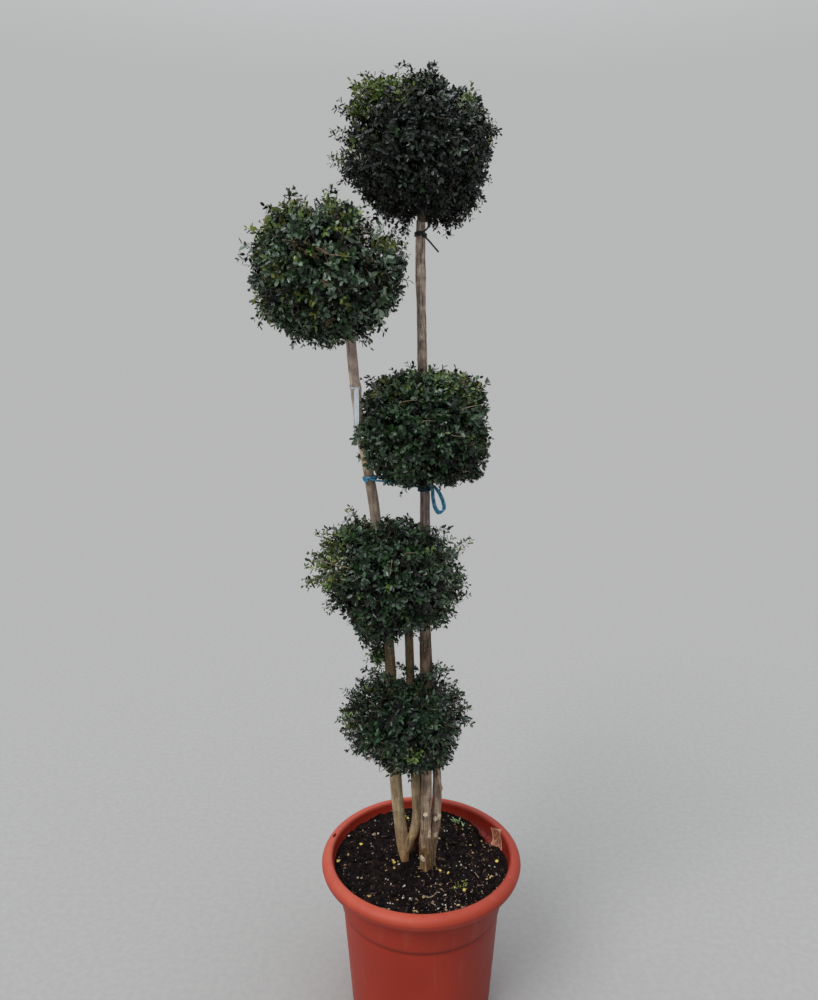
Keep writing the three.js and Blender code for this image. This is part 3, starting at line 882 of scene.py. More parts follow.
def soil_places(random, count, clear_of=0.02):
    """Random places on the potting mix, clear of the wall and of the stems' feet."""
    radius = STREWN_REACH * np.sqrt(random.uniform(0, 1, count))
    places = level_ways(random.uniform(0, TURN, count)) * radius[:, None]
    for stem in STEMS:
        away = places - np.array((*stem["way"][0][:2], 0)) * MM
        push = np.maximum(clear_of - np.linalg.norm(away, axis=1, keepdims=True), 0)
        places = places + unit(away) * push
    return on_soil(places)


def on_soil(places):
    """The places drawn in from the wall where they need to be, and set on the potting mix."""
    radius = np.linalg.norm(places[:, :2], axis=1)
    limit = inner_radius(soil_edge(places)) - WALL_CLEARANCE
    places = places * np.minimum(1, limit / np.maximum(radius, 1e-6))[:, None]
    places[:, 2] = soil_height(places)
    return places


# Loose bits: name, gloss, main and patch colour, their two scales, speckle and roughness
CRUMBS = (
    ("crumb_dark", 0.12, (8, 5, 6), (26, 18, 17), (300.0, 900.0), 0.5, 0.9),
    ("crumb_brown", 0.12, (40, 31, 27), (60, 48, 41), (300.0, 900.0), 0.4, 0.85),
    ("bark_chip", 0.12, (112, 92, 70), (72, 54, 42), (200.0, 800.0), 0.4, 0.8),
    ("white_grit", 0.5, (216, 210, 202), (170, 160, 150), (300.0, 900.0), 0.2, 0.75),
    ("pale_bits", 0.12, (164, 140, 112), (116, 94, 74), (300.0, 900.0), 0.3, 0.8),
)
CRUMB_COUNT = 3600
CHIP_COUNT = 300
STRAW_COUNT = 95
# More loose bits lie at the near right, where the surface has been washed out: middle, spread and share.
WASHED_OUT = ((0.075, -0.12, 0), (0.06, 0.04, 0), 0.40)
# Where the larger pieces of white grit show in the picture
GRIT_PLACES = (
    (404, 886), (374, 835), (378, 834), (349, 836), (371, 847), (391, 885), (399, 864), (358, 878),
    (347, 879), (461, 865), (466, 868), (403, 898), (410, 899), (446, 910), (417, 912), (462, 907),
)


def build_crumbs():
    """Crumbs, bark chips, white grit and pale bits that lie half sunk in the potting mix."""
    random = np.random.default_rng(5)
    finishes = [mottled_material(name, *look, gloss=gloss) for name, gloss, *look in CRUMBS]
    parts = Parts()
    count = CRUMB_COUNT
    places = soil_places(random, count)
    middle, spread, share = WASHED_OUT
    pull = random.uniform(0, 1, count) < share
    drawn = np.array(middle) + random.normal(size=(count, 3)) * spread
    places = on_soil(np.where(pull[:, None], drawn, places))
    kinds = random.choice(5, count, p=(0.70, 0.15, 0.04, 0.055, 0.055))
    sizes = 0.0020 + 0.0034 * random.power(0.45, count)
    sizes = np.where(kinds >= 3, 0.0018 + 0.0034 * random.power(0.4, count), sizes)
    places[:, 2] += sizes * 0.15
    scatter_lumps(parts, random, places, sizes, 0.7, kinds, SMALL_BALL)
    count = CHIP_COUNT
    places = soil_places(random, count)
    kinds = random.choice(3, count, p=(0.84, 0.14, 0.02))
    sizes = random.uniform(0.006, 0.014, count)
    scatter_lumps(parts, random, places, sizes, 0.55, kinds, FINE_BALL)
    places = soil_points(GRIT_PLACES)
    count = len(places)
    sizes = random.uniform(0.005, 0.008, count)
    kinds = random.choice((3, 4), count, p=(0.7, 0.3))
    scatter_lumps(parts, random, places, sizes, 0.7, kinds, FINE_BALL)
    # Thin chips and bits of straw, lying flat
    for _ in range(STRAW_COUNT):
        place = soil_places(random, 1)[0]
        length = random.uniform(0.006, 0.018)
        way = level_lying(random, 1, -0.15, 0.25)[0]
        steps = np.linspace(-0.5, 0.5, 4)[:, None]
        bend = np.array((-way[1], way[0], 0)) * random.uniform(-0.2, 0.2)
        path = place + UP * 0.0012 + way * steps * length + bend * length * (steps**2)
        finish = random.choice((1, 2, 4), p=(0.3, 0.4, 0.3))
        add_tube(parts, path, np.array((0.3, 1, 0.9, 0.25)) * random.uniform(0.0005, 0.0012), 5, finish)
    return parts.piece("soil_crumbs", finishes)


# Leaves and other flat things that are drawn by an outline

LEAF_POINTS = np.array(
    [
        (0.0, 0.0, 0.0),
        (0.26, 0.26, 0.06),
        (0.72, 0.27, 0.03),
        (1.0, 0.0, -0.09),
        (0.72, -0.27, 0.03),
        (0.26, -0.26, 0.06),
        (0.48, 0.0, -0.05),
    ]
)
LEAF_FACES = np.array([(0, 6, 1), (1, 6, 2), (2, 6, 3), (3, 6, 4), (4, 6, 5), (5, 6, 0)])


def add_leaves(parts, bases, ways, faces_up, lengths, widths, finishes, curl=1.0):
    """Leaves from their bases, each along its way and with its upper side turned as given."""
    ways = unit(ways)
    ups = square_to(faces_up, ways)
    sides = np.cross(ups, ways)
    shape = LEAF_POINTS[None]
    lengths = lengths[:, None, None]
    points = bases[:, None]
    points = points + ways[:, None] * shape[..., 0:1] * lengths
    points = points + sides[:, None] * shape[..., 1:2] * lengths * widths[:, None, None]
    points = points + ups[:, None] * shape[..., 2:3] * lengths * curl
    parts.add_copies(points, LEAF_FACES, finishes)


# Leaves on the potting mix: name, upper and under side, and roughness
LITTER_LEAVES = (
    ("fallen_yellow", (206, 178, 84), (186, 160, 92), 0.6),
    ("fallen_buff", (176, 150, 96), (160, 138, 96), 0.7),
    ("seedling_green", (166, 194, 136), (188, 206, 164), 0.5),
    ("moss_green", (128, 138, 58), (110, 118, 52), 0.8),
)
LITTER_CURL = 1.6
DEAD_LEAF_COUNT = 70
# Where the larger fallen leaves show in the picture
FALLEN_PLACES = (
    (361, 845), (340, 858), (338, 862), (394, 863), (418, 877), (440, 871), (448, 874), (487, 880),
    (491, 878), (404, 817), (408, 819), (459, 906), (464, 891), (369, 897), (470, 846), (497, 862),
    (415, 913), (393, 861), (378, 811), (455, 888),
)
# Picture point, how many leaves, and their length
SEEDLINGS = ((456, 823, 6, 0.018), (463, 827, 4, 0.014), (468, 829, 3, 0.009), (459, 822, 3, 0.016))
# Picture point, how many leaves, and how far they spread
MOSS_SPRIGS = ((461, 887, 46, 0.008), (464, 883, 20, 0.004), (455, 889, 14, 0.005), (404, 818, 36, 0.006))
# The pale root threads' ways in the picture
ROOT_THREADS = (
    ((423, 896), (428, 898), (433, 896.5), (437, 893), (440.5, 893.5), (442, 895.5)),
    ((431, 903), (434, 905), (437, 907.5), (440, 909)),
    ((475, 873), (477, 876), (479, 878.5)),
    ((373, 811), (380, 809), (387, 809.5), (393, 812)),
)


def build_litter():
    """Fallen yellow leaves, seedlings, sprigs of moss and pale root threads on the potting mix."""
    random = np.random.default_rng(12)
    finishes = [leaf_finish(*look) for look in LITTER_LEAVES]
    finishes.append(
        mottled_material("root_thread", (196, 178, 152), (150, 128, 104), (200.0, 900.0), 0.2, 0.8)
    )
    parts = Parts()
    places = soil_points(FALLEN_PLACES)
    count = len(places)
    ways = level_lying(random, count, -0.1, 0.2)
    ups = UP + random.normal(size=(count, 3)) * 0.35
    lengths = random.uniform(0.007, 0.011, count)
    kinds = random.choice(2, count, p=(0.65, 0.35))
    bases = places + UP * 0.0022 - unit(ways) * 0.004
    add_leaves(parts, bases, ways, ups, lengths, random.uniform(1.2, 1.8, count), kinds, LITTER_CURL)
    # Small dead leaves all over, mostly hidden among the crumbs
    count = DEAD_LEAF_COUNT
    places = soil_places(random, count) + UP * 0.001
    ways = level_lying(random, count, -0.1, 0.3)
    ups = UP + random.normal(size=(count, 3)) * 0.6
    lengths = random.uniform(0.004, 0.008, count)
    widths = random.uniform(0.9, 1.5, count)
    add_leaves(parts, places, ways, ups, lengths, widths, np.ones(count, int), LITTER_CURL)
    # Seedlings: narrow leaves that rise from one place
    for x, y, count, length in SEEDLINGS:
        bases = np.repeat(soil_points([(x, y)]), count, 0)
        ways = level_lying(random, count, 0.4, 1.5)
        lengths = length * random.uniform(0.7, 1.15, count)
        ups = np.repeat(UP[None], count, 0)
        add_leaves(parts, bases, ways, ups, lengths, np.full(count, 0.36), np.full(count, 2))
    # Moss: many tiny leaves close together
    for x, y, count, spread in MOSS_SPRIGS:
        bases = soil_point(x, y) + random.normal(size=(count, 3)) * (spread, spread, 0.0005)
        bases[:, 2] = soil_height(bases) + random.uniform(0.0005, 0.004, count)
        ways = unit(random.normal(size=(count, 3))) + UP * 0.7
        lengths = random.uniform(0.0018, 0.0036, count)
        kinds = random.choice((2, 3), count, p=(0.15, 0.85))
        add_leaves(parts, bases, ways, random.normal(size=(count, 3)), lengths, np.full(count, 1.2), kinds)
    for thread in ROOT_THREADS:
        path = smooth_path(soil_points(thread) + UP * 0.0018, 6)
        add_tube(parts, path, 0.0009 * np.linspace(1, 0.5, len(path)), 6, 4)
    return parts.piece("fallen_bits", finishes)


# The stems

GROUND = 348.3
FLARE_HEIGHT = 26.0
STEM_SIDES = 44
STEM_RING = 3.2
STEMS = [
    {
        "name": "stem_to_top_ball", "foot": 25, "tip": 19.5, "flare": 4,
        "swellings": ((425, 1.6), (1736, 1.3)),
        "way": (
            (13, -24, GROUND), (10, -24, 432), (12, -20, 560), (7, -7, 903), (6, 5, 1251), (0, 18, 1548),
            (-5, 28, 1782), (-4, 30, 1850),
        ),
        "bark": "grey",
    },
    {
        "name": "stem_to_left_ball", "foot": 29, "tip": 20, "flare": 2, "narrow": 0.5,
        "swellings": ((420, 0.6),),
        "web": (
            (-38, 4, 385, 8), (-37, 3.5, 398, 9), (-36, 3.5, 410, 9.5), (-35, 4.5, 420, 8),
            (-34, 7, 429, 3),
        ),
        "way": (
            (-39, 8, GROUND), (-48.5, 7, 436), (-60, 3, 560), (-74, -7, 886), (-108, -19, 1253),
            (-139, -25, 1450), (-154, -30, 1625),
        ),
        "bark": "tan",
    },
    {
        "name": "stem_to_right_ball", "foot": 20, "tip": 17.5, "flare": 3,
        "swellings": ((463, 1.8), (535, 1.6)),
        "way": (
            (22, -8, GROUND), (27, -7, 400), (34, -4, 463), (38, 3, 560), (14, 23, 892), (8, 30, 1130),
            (4, 31, 1312),
        ),
        "bark": "grey",
    },
    {
        "name": "stem_to_lower_ball", "foot": 23, "tip": 19.5, "flare": 0, "swellings": (),
        "way": (
            (-36, 7, 384), (-27, 7, 408), (-17, 8, 434), (-11, 11, 476), (-12, 12, 520), (-22, 15, 720),
            (-31, 19, 960),
        ),
        "bark": "tan",
    },
    {
        "name": "stem_to_lowest_ball", "foot": 19, "tip": 17, "flare": 3, "swellings": (),
        "way": ((-9, 52, GROUND), (-6, 46, 480), (-5, 41, 642)),
        "bark": "brown",
    },
]

# Scars and knobs on the bark: height, the way it faces in degrees (-90 is towards the viewer), how wide and
# how tall it is, how far it stands out, and whether its middle is a pale cut. Millimetres.
MARKS = {
    "stem_to_top_ball": (
        (503, -104, 6, 6, 1.8, True), (452, -48, 5.5, 11, 2.4, True), (391, -128, 6.5, 8, 2.4, True),
        (560, -70, 5, 4, 1.4, False), (604, -100, 4, 3, 1.2, False), (1737, -120, 7, 5, 1.6, False),
        (1690, -30, 4, 4, 1.0, False), (1604, -95, 4, 3, 0.9, True), (1560, -160, 5, 4, 1.2, False),
        (880, -60, 5, 4, 1.2, False),
    ),
    "stem_to_right_ball": (
        (553, -18, 6, 5, 3.0, False), (520, -30, 5, 4, 2.0, False), (484, -52, 7, 7, 3.6, True),
        (480, -104, 5.5, 6, 3.0, True), (439, -78, 5, 8, 2.2, True), (417, -28, 5, 5, 2.4, False),
        (600, -120, 4, 4, 1.2, False), (868, -80, 5, 4, 1.5, False),
    ),
    "stem_to_left_ball": (
        (592, -75, 6, 5, 1.4, False), (507, -60, 14, 2, 0.9, False), (470, -130, 4, 3, 0.8, False),
        (876, -70, 5, 5, 1.4, False), (1330, -60, 5, 4, 1.3, False), (1405, -120, 5, 4, 1.4, True),
        (1500, -10, 8, 12, 2.6, False), (1540, -50, 5, 5, 1.6, False),
    ),
    "stem_to_lower_ball": (
        (610, -70, 4, 4, 1.2, False), (560, -110, 4, 3, 1.0, False), (880, -60, 4, 4, 1.4, False),
    ),
    "stem_to_lowest_ball": ((420, -80, 4, 4, 1.0, False), (520, -100, 5, 4, 1.4, False)),
}
# Below this height the front stem's bark is thicker and ends in a ledge.
BARK_STEP = 415.0
# Over this height a foot that narrows reaches its full width.
FOOT_TAPER = 52.0


def stem_named(name):
    return next(stem for stem in STEMS if stem["name"] == name)


def stem_line(stem):
    return smooth_path(stem["way"], 30)


def stem_centre(stem, heights):
    line = stem_line(stem)
    return np.stack([np.interp(heights, line[:, 2], line[:, axis]) for axis in (0, 1)], -1)


def stem_radius(stem, heights):
    low, high = stem["way"][0][2], stem["way"][-1][2]
    radius = np.interp(heights, (low, high), (stem["foot"], stem["tip"])) / 2
    radius = radius + stem["flare"] * np.exp(-np.maximum(heights - low, 0) / FLARE_HEIGHT)
    for height, by in stem["swellings"]:
        radius = radius + by * fading(heights - height, FLARE_HEIGHT)
    return radius


def build_stem(stem, finishes, seed):
    """One stem with its bark's relief: soft ovals, upright ridges, scars, knobs and cross marks."""
    sunk = 8 if stem["flare"] else 0
    low, high = stem["way"][0][2] - sunk, stem["way"][-1][2]
    heights = np.linspace(low, high, int((high - low) / STEM_RING))
    turns = even_turns(STEM_SIDES)
    centre = stem_centre(stem, heights)
    # The left stem's foot narrows as it goes into the potting mix.
    share = np.clip((heights - GROUND) / FOOT_TAPER, 0, 1)
    narrow = 1 - stem.get("narrow", 0) * (1 - share) ** 1.5
    radius = (stem_radius(stem, heights) * narrow)[:, None] * np.ones(STEM_SIDES)
    out = level_ways(turns)
    around = out[None] * radius[..., None]
    skin = around + np.stack([*centre.T, heights], 1)[:, None]
    heights = heights[:, None]
    place = around + UP * heights[..., None]
    relief = 0.75 * smooth_noise(place, (26, 26, 60), seed)
    relief = relief + 0.42 * layered_noise(place, (5, 5, 34), seed + 10)
    relief = relief + 0.20 * layered_noise(place, (2.4, 2.4, 5), seed + 20, 2)
    ring_marks = smooth_noise(place * (0.15, 0.15, 1), (6, 6, 7), seed + 30)
    relief = relief + 0.25 * np.clip(ring_marks - 0.55, 0, 1) * 2
    # Roots start to show as broad ribs at the foot.
    ribs = np.cos(3 * turns + seed)[None] * np.exp(-(heights - GROUND) / FLARE_HEIGHT)
    relief = relief + ribs * stem["flare"] * 0.15
    finish = np.zeros(relief.shape, int)
    if stem["name"] == "stem_to_top_ball":
        edge = BARK_STEP + 4 * smooth_noise(place * (1, 1, 0), 7, 91)
        under = 1 / (1 + np.exp(np.clip((heights - edge) / 0.9, -30, 30)))
        flakes = layered_noise(place, (5, 5, 22), 77)
        relief = relief + under * (1.8 + 2.0 * flakes) - 0.9 * fading(heights - edge - 1.5, 1.4)
        finish = np.where(under > 0.5, 2, finish)
    for height, facing, wide, tall, stands, pale in MARKS[stem["name"]]:
        turn_away = (turns - math.radians(facing) + math.pi) % TURN - math.pi
        far = np.hypot(turn_away[None] * radius / wide, (heights - height) / tall)
        relief = relief + stands * fading(far, 1)
        if pale:
            relief = relief - 0.35 * stands * fading(far, 0.5)
            finish = np.where(far < 0.9, 1, finish)
    parts = Parts()
    skin = (skin + out[None] * relief[..., None]) * MM
    parts.add(skin, ring_faces(len(skin), STEM_SIDES), finish[:-1].ravel())
    first = parts.count
    ring = np.arange(STEM_SIDES)
    ends = np.array([(*centre[0], low), (*centre[-1], high)]) * MM
    caps = [fan_faces(ring, first, True), fan_faces(first - STEM_SIDES + ring, first + 1)]
    parts.add(ends, np.concatenate(caps) - first)
    if "web" in stem:
        # Bark that fills the fork between this stem and the next one: x, y, height and radius
        web = smooth_path(stem["web"], 6) * MM
        add_tube(parts, web[:, :3], web[:, 3], 20)
    return parts.piece("bark_of_" + stem["name"], finishes, [stem["name"]])


# Each bark: pale and dark colour, how far cracks cover it, contrast, and the tints of its foot and its crown.
# The brown bark's foot tint darkens it as painted shade.
BARKS = {
    "grey": ((178, 155, 134), (134, 114, 98), 0.40, 0.36, (255, 240, 206), (1.12, 1.20, 1.34, 1)),
    "tan": ((182, 162, 128), (150, 129, 100), 0.15, 0.28, (255, 224, 196), (1.45, 1.50, 2.05, 1)),
    "brown": ((122, 92, 74), (84, 62, 50), 0.7, 0.5, (190, 150, 130)),
    "rough": ((198, 166, 128), (124, 96, 70), 1.0, 0.50, (255, 240, 206)),
}


def build_stems():
    cut = mottled_material("healed_cut", (220, 204, 178), (170, 144, 116), (160.0, 900.0), 0.25, 0.8)
    barks = {kind: bark(kind + "_bark", *look) for kind, look in BARKS.items()}
    for index, stem in enumerate(STEMS):
        build_stem(stem, [barks[stem["bark"]], cut, barks["rough"]], 40 + 100 * index)


# The clipped balls

# Some tones stand for light: shadow and dusk are painted shade, sunny is painted sunlight, light is partly
# painted sunlight, and ash, cool and bright are painted reflections of the sky.
LEAF_TONES = {
    "shadow": ((10, 16, 11), (19, 26, 18), 0.55, 0.25),
    "dusk": ((25, 33, 27), (40, 48, 39), 0.34, 0.5),
    "deep": ((24, 46, 26), (48, 64, 40), 0.32, 0.5),
    "mid": ((42, 74, 38), (70, 90, 52), 0.32, 0.5),
    "ash": ((62, 72, 67), (84, 94, 86), 0.26, 0.6),
    "cool": ((74, 96, 76), (98, 114, 92), 0.26, 0.6),
    "bright": ((118, 138, 116), (134, 148, 122), 0.24, 0.7),
    "sunny": ((82, 104, 24), (108, 122, 44), 0.42, 0.3),
    "light": ((92, 118, 48), (118, 134, 72), 0.34, 0.5),
    "olive": ((100, 108, 38), (118, 120, 60), 0.38, 0.4),
    "fresh": ((128, 142, 48), (142, 150, 70), 0.38, 0.4),
    "pale": ((178, 178, 96), (176, 174, 106), 0.45, 0.4),
    "bronze": ((78, 66, 44), (94, 80, 58), 0.45, 0.4),
}
TONE_NAMES = list(LEAF_TONES)
# Twigs: name, main and patch colour, their two scales, speckle and roughness
TWIGS = (
    ("old_twig", (88, 72, 58), (62, 50, 42), (60.0, 700.0), 0.3, 0.85),
    ("young_twig", (70, 72, 44), (88, 76, 52), (60.0, 700.0), 0.2, 0.75),
    ("pale_twig", (158, 138, 112), (120, 98, 76), (60.0, 700.0), 0.2, 0.8),
)
OUTLINE_STEP = 15
# Rays that measure a mass all round, and how far the rays near each one lean aside
RAYS = 900
RAY_LEANS = ((0, 0), (0.16, 0), (-0.16, 0), (0, 0.16), (0, -0.16))
# Shadow places on a ball's lower side are painted shade, and light, sunny and olive places on its top and
# sides stand partly for leaves in sun, as painted light.
# Each ball, with its middle in millimetres, other lengths in metres, and places in pixels of the picture.
# stem: the one whose tip feeds it
# outline: how far it reaches in the picture at every 15 degrees, from the right side round over the top
# leaf, wide, shoots: a leaf's length, its width as a multiple of the plain leaf's, and how many shoots
# tones, other: how often each tone comes, and the tones that single leaves change to
# places: a direction from the middle, how wide, a tone, and how much of it takes that tone
# airy: where it is thin, as how far right and up, how wide, and the share left out
# tips, front: sprigs at its outline and before its stems, as a place, scatter across and down, and shoots
# bare, dead: the ends of dead twigs across its front, and how many short ones there are
# clear: circles that stay free of leaves on its near side
# A ball leaves out what it has none of.
BALLS = [
    {
        "node": "foliage_top_ball", "stem": "stem_to_top_ball", "middle": (-14, 50, 1998),
        "outline": (
            80, 83, 83, 80, 70, 83, 77, 73, 85, 88, 84, 73, 81, 83, 79, 78, 83, 82, 75, 84, 95, 91, 82, 76,
        ),
        "leaf": 0.0110, "wide": 0.90, "shoots": 2350,
        "tones": {"shadow": 0.27, "dusk": 0.50, "deep": 0.12, "ash": 0.07, "cool": 0.02, "mid": 0.02},
        "other": ("dusk", "ash", "shadow"),
        "places": (
            ((-0.56, -0.52, 0.64), 0.42, "sunny", 1.6),
            ((-0.60, -0.46, 0.66), 0.36, "light", 0.35),
            ((-0.60, -0.52, 0.62), 0.34, "fresh", 0.10),
            ((-0.90, -0.3, 0.25), 0.30, "olive", 0.45),
            ((-0.93, -0.2, -0.10), 0.22, "light", 0.35),
            ((0.82, -0.3, 0.48), 0.28, "light", 0.70),
            ((0.90, -0.2, 0.30), 0.20, "olive", 0.40),
            ((0.10, -0.5, 0.85), 0.34, "mid", 0.40),
            ((0.2, -0.6, -0.8), 0.60, "shadow", 0.35),
        ),
        "airy": (
            (-0.98, 0.05, 0.42, 0.66), (-0.52, 0.75, 0.36, 0.30), (0.93, 0.28, 0.30, 0.40),
            (0.62, 0.72, 0.24, 0.55),
        ),
        "tips": (
            (405, 65, 9, 3, 3), (383, 71, 1, 1, 1), (359, 74, 2, 1, 1), (437, 63, 7, 2, 2),
            (336, 104, 4, 6, 2), (332, 132, 1, 8, 2), (329, 163, 8, 10, 3), (338, 182, 5, 4, 2),
            (494, 131, 6, 14, 4), (489, 183, 1, 1, 1), (479, 212, 2, 2, 1), (446, 232, 6, 6, 3),
            (463, 222, 2, 2, 1), (399, 234, 8, 8, 8), (386, 220, 5, 3, 3),
        ),
        "dead": 30,
        "clear": ((418, 219, 3), (420, 227, 7), (420, 237, 9)),
        "strays": 50, "ragged": 0.008, "open": 0.20, "seed": 101,
    },
    {
        "node": "foliage_left_ball", "stem": "stem_to_left_ball", "middle": (-199, -50, 1745),
        "outline": (
            84, 82, 78, 74, 71, 71, 69, 68, 80, 78, 77, 79, 79, 79, 87, 86, 85, 84, 86, 86, 83, 87, 83, 83,
        ),
        "leaf": 0.0134, "wide": 0.88, "shoots": 1950,
        "tones": {
            "shadow": 0.22, "deep": 0.23, "mid": 0.15, "cool": 0.18, "bright": 0.10, "light": 0.07,
            "olive": 0.03, "bronze": 0.02,
        },
        "other": ("mid", "bright", "deep"),
        "places": (
            ((-0.20, -0.40, 0.88), 0.55, "light", 0.50),
            ((-0.25, -0.40, 0.86), 0.50, "olive", 0.35),
            ((0.33, -0.85, 0.40), 0.12, "fresh", 0.25),
            ((0.33, -0.85, 0.40), 0.14, "olive", 0.55),
            ((-0.90, -0.2, 0.39), 0.16, "fresh", 0.60),
            ((-0.70, -0.3, -0.65), 0.15, "olive", 0.50),
            ((-0.55, -0.82, -0.10), 0.12, "olive", 0.60),
            ((-0.10, -1.0, 0.05), 0.30, "bronze", 0.16),
            ((-0.85, -0.4, 0.2), 0.45, "light", 0.35),
            ((0.6, -0.7, -0.35), 0.45, "shadow", 0.35),
        ),
        "airy": ((0.76, 0.54, 0.36, 0.92), (-0.1, 0.97, 0.42, 0.60), (-0.95, -0.2, 0.32, 0.40)),
        "tips": (
            (290, 190, 7, 2, 3), (327, 190, 12, 5, 4), (346, 204, 2, 2, 1), (366, 203, 2, 2, 1),
            (384, 224, 2, 2, 1), (402, 248, 5, 14, 4), (402, 297, 1, 1, 1), (386, 334, 1, 1, 1),
            (368, 345, 5, 4, 3), (300, 344, 10, 2, 3), (258, 318, 8, 9, 3), (239, 257, 4, 7, 3),
            (248, 231, 3, 4, 2), (267, 210, 6, 6, 2),
        ),
        "bare": ((317, 247, 330, 255), (330, 255, 352, 257), (282, 240, 296, 242)),
        "dead": 90, "strays": 40, "ragged": 0.008, "open": 0.18, "seed": 202,
    },
    {
        "node": "foliage_right_ball", "stem": "stem_to_right_ball", "middle": (6, 5, 1414),
        "outline": (
            66, 69, 73, 72, 64, 61, 61, 62, 65, 74, 73, 70, 74, 72, 71, 71, 69, 67, 61, 64, 69, 78, 73, 67,
        ),
        "leaf": 0.0130, "wide": 0.98, "shoots": 1850,
        "tones": {"shadow": 0.22, "deep": 0.37, "mid": 0.21, "cool": 0.12, "bright": 0.06, "light": 0.02},
        "other": ("deep", "mid", "cool"),
        "places": (
            ((-0.30, -0.35, 0.88), 0.50, "light", 0.40),
            ((0.35, -0.35, 0.86), 0.45, "light", 0.38),
            ((0.62, -0.40, 0.68), 0.32, "olive", 0.40),
            ((-0.75, -0.25, 0.60), 0.13, "pale", 0.45),
            ((-0.85, -0.45, -0.25), 0.16, "fresh", 0.25),
            ((0.45, -0.7, -0.55), 0.45, "shadow", 0.45),
        ),
        "airy": ((0, 0.97, 0.40, 0.25), (0.97, 0.1, 0.3, 0.25)),
        "tips": (
            (360, 453, 5, 8, 3), (482, 383, 6, 2, 2), (439, 367, 7, 1, 2), (461, 374, 1, 1, 1),
            (366, 380, 7, 4, 3), (411, 364, 8, 1, 2),
        ),
        "front": ((366, 410, 4, 15, 9), (360, 433, 9, 9, 15), (368, 457, 4, 11, 7)),
        "bare": ((455, 436, 470, 436), (424, 421, 436, 421), (466, 408, 485, 404), (400, 403, 418, 400)),
        "dead": 120, "strays": 40, "ragged": 0.007, "open": 0.12, "seed": 303,
    },
    {
        "node": "foliage_lower_ball", "stem": "stem_to_lower_ball", "middle": (-74, 0, 1073),
        "outline": (
            82, 76, 74, 69, 69, 66, 64, 65, 72, 75, 79, 85, 83, 64, 61, 61, 68, 76, 64, 62, 67, 74, 78, 77,
        ),
        "leaf": 0.0125, "wide": 0.88, "shoots": 1950,
        "tones": {"shadow": 0.33, "deep": 0.42, "mid": 0.14, "cool": 0.08, "bright": 0.02, "light": 0.01},
        "other": ("deep", "mid", "cool"),
        "places": (
            ((-0.66, -0.1, 0.78), 0.20, "light", 0.50),
            ((-0.96, -0.20, 0.15), 0.42, "light", 0.80),
            ((-0.96, -0.20, 0.15), 0.38, "olive", 0.40),
            ((-0.90, -0.20, 0.30), 0.40, "fresh", 0.15),
            ((0.45, -0.7, -0.45), 0.20, "mid", 0.7),
            ((-0.45, 0, 0.9), 0.14, "olive", 0.5),
            ((0.75, -0.3, 0.35), 0.25, "light", 0.25),
            ((0.75, -0.6, -0.1), 0.35, "shadow", 0.30),
        ),
        "airy": (
            (-0.98, 0.12, 0.40, 0.66), (0.97, 0.15, 0.42, 0.68), (0.65, 0.72, 0.30, 0.6),
            (0.6, -0.75, 0.3, 0.4),
        ),
        "tips": (
            (351, 508, 6, 5, 3), (342, 523, 5, 5, 3), (323, 535, 9, 5, 3), (310, 559, 3, 9, 2),
            (306, 583, 9, 8, 4), (328, 606, 6, 8, 4), (352, 624, 2, 2, 1), (366, 647, 7, 4, 3),
            (398, 643, 1, 1, 1), (450, 533, 7, 7, 3), (468, 546, 5, 11, 3), (465, 570, 5, 5, 2),
            (464, 589, 6, 10, 3), (454, 608, 4, 6, 2), (438, 626, 8, 7, 4),
        ),
        "front": ((375, 523, 6, 5, 4), (389, 642, 6, 6, 4), (424, 532, 6, 9, 9)),
        "bare": ((319, 560, 334, 565), (334, 565, 350, 568), (404, 554, 417, 553), (392, 560, 390, 575)),
        "dead": 110,
        "clear": ((383, 550, 2.5), (408, 641, 4)),
        "strays": 60, "ragged": 0.010, "open": 0.20, "seed": 404,
    },
    {
        "node": "foliage_lowest_ball", "stem": "stem_to_lowest_ball", "middle": (-38, 3, 726),
        "outline": (
            67, 67, 65, 63, 62, 48, 43, 46, 61, 66, 66, 67, 70, 66, 63, 53, 54, 53, 50, 57, 60, 63, 60, 58,
        ),
        "leaf": 0.0122, "wide": 0.82, "shoots": 1700,
        "tones": {"shadow": 0.40, "deep": 0.42, "mid": 0.12, "cool": 0.06},
        "other": ("deep", "mid", "cool"),
        "places": (
            ((0.15, -0.98, -0.12), 0.13, "light", 0.75),
            ((-0.75, -0.2, 0.6), 0.28, "light", 0.30),
            ((-0.97, -0.2, 0.0), 0.22, "olive", 0.40),
        ),
        "airy": (
            (-0.73, 0.65, 0.34, 0.70), (0.73, 0.65, 0.36, 0.75), (0.98, 0.05, 0.34, 0.6),
            (-0.98, 0, 0.3, 0.4),
        ),
        "tips": (
            (347, 687, 7, 10, 3), (370, 667, 9, 5, 3), (352, 745, 6, 9, 3), (367, 759, 2, 2, 1),
            (340, 718, 1, 2, 1), (443, 663, 11, 9, 9), (461, 688, 6, 8, 3), (468, 720, 6, 14, 5),
            (450, 760, 5, 2, 2), (411, 783, 5, 8, 5), (388, 774, 4, 3, 2), (424, 780, 1, 1, 1),
            (398, 658, 5, 11, 8), (416, 661, 3, 8, 3),
        ),
        "front": ((423, 671, 8, 20, 15), (391, 673, 12, 10, 6)),
        "bare": ((379, 771, 389, 767), (366, 760, 372, 756)),
        "dead": 80,
        "clear": ((388, 670, 4), (409, 674, 5), (441, 692, 5)),
        "strays": 50, "ragged": 0.009, "open": 0.22, "seed": 505,
    },
]
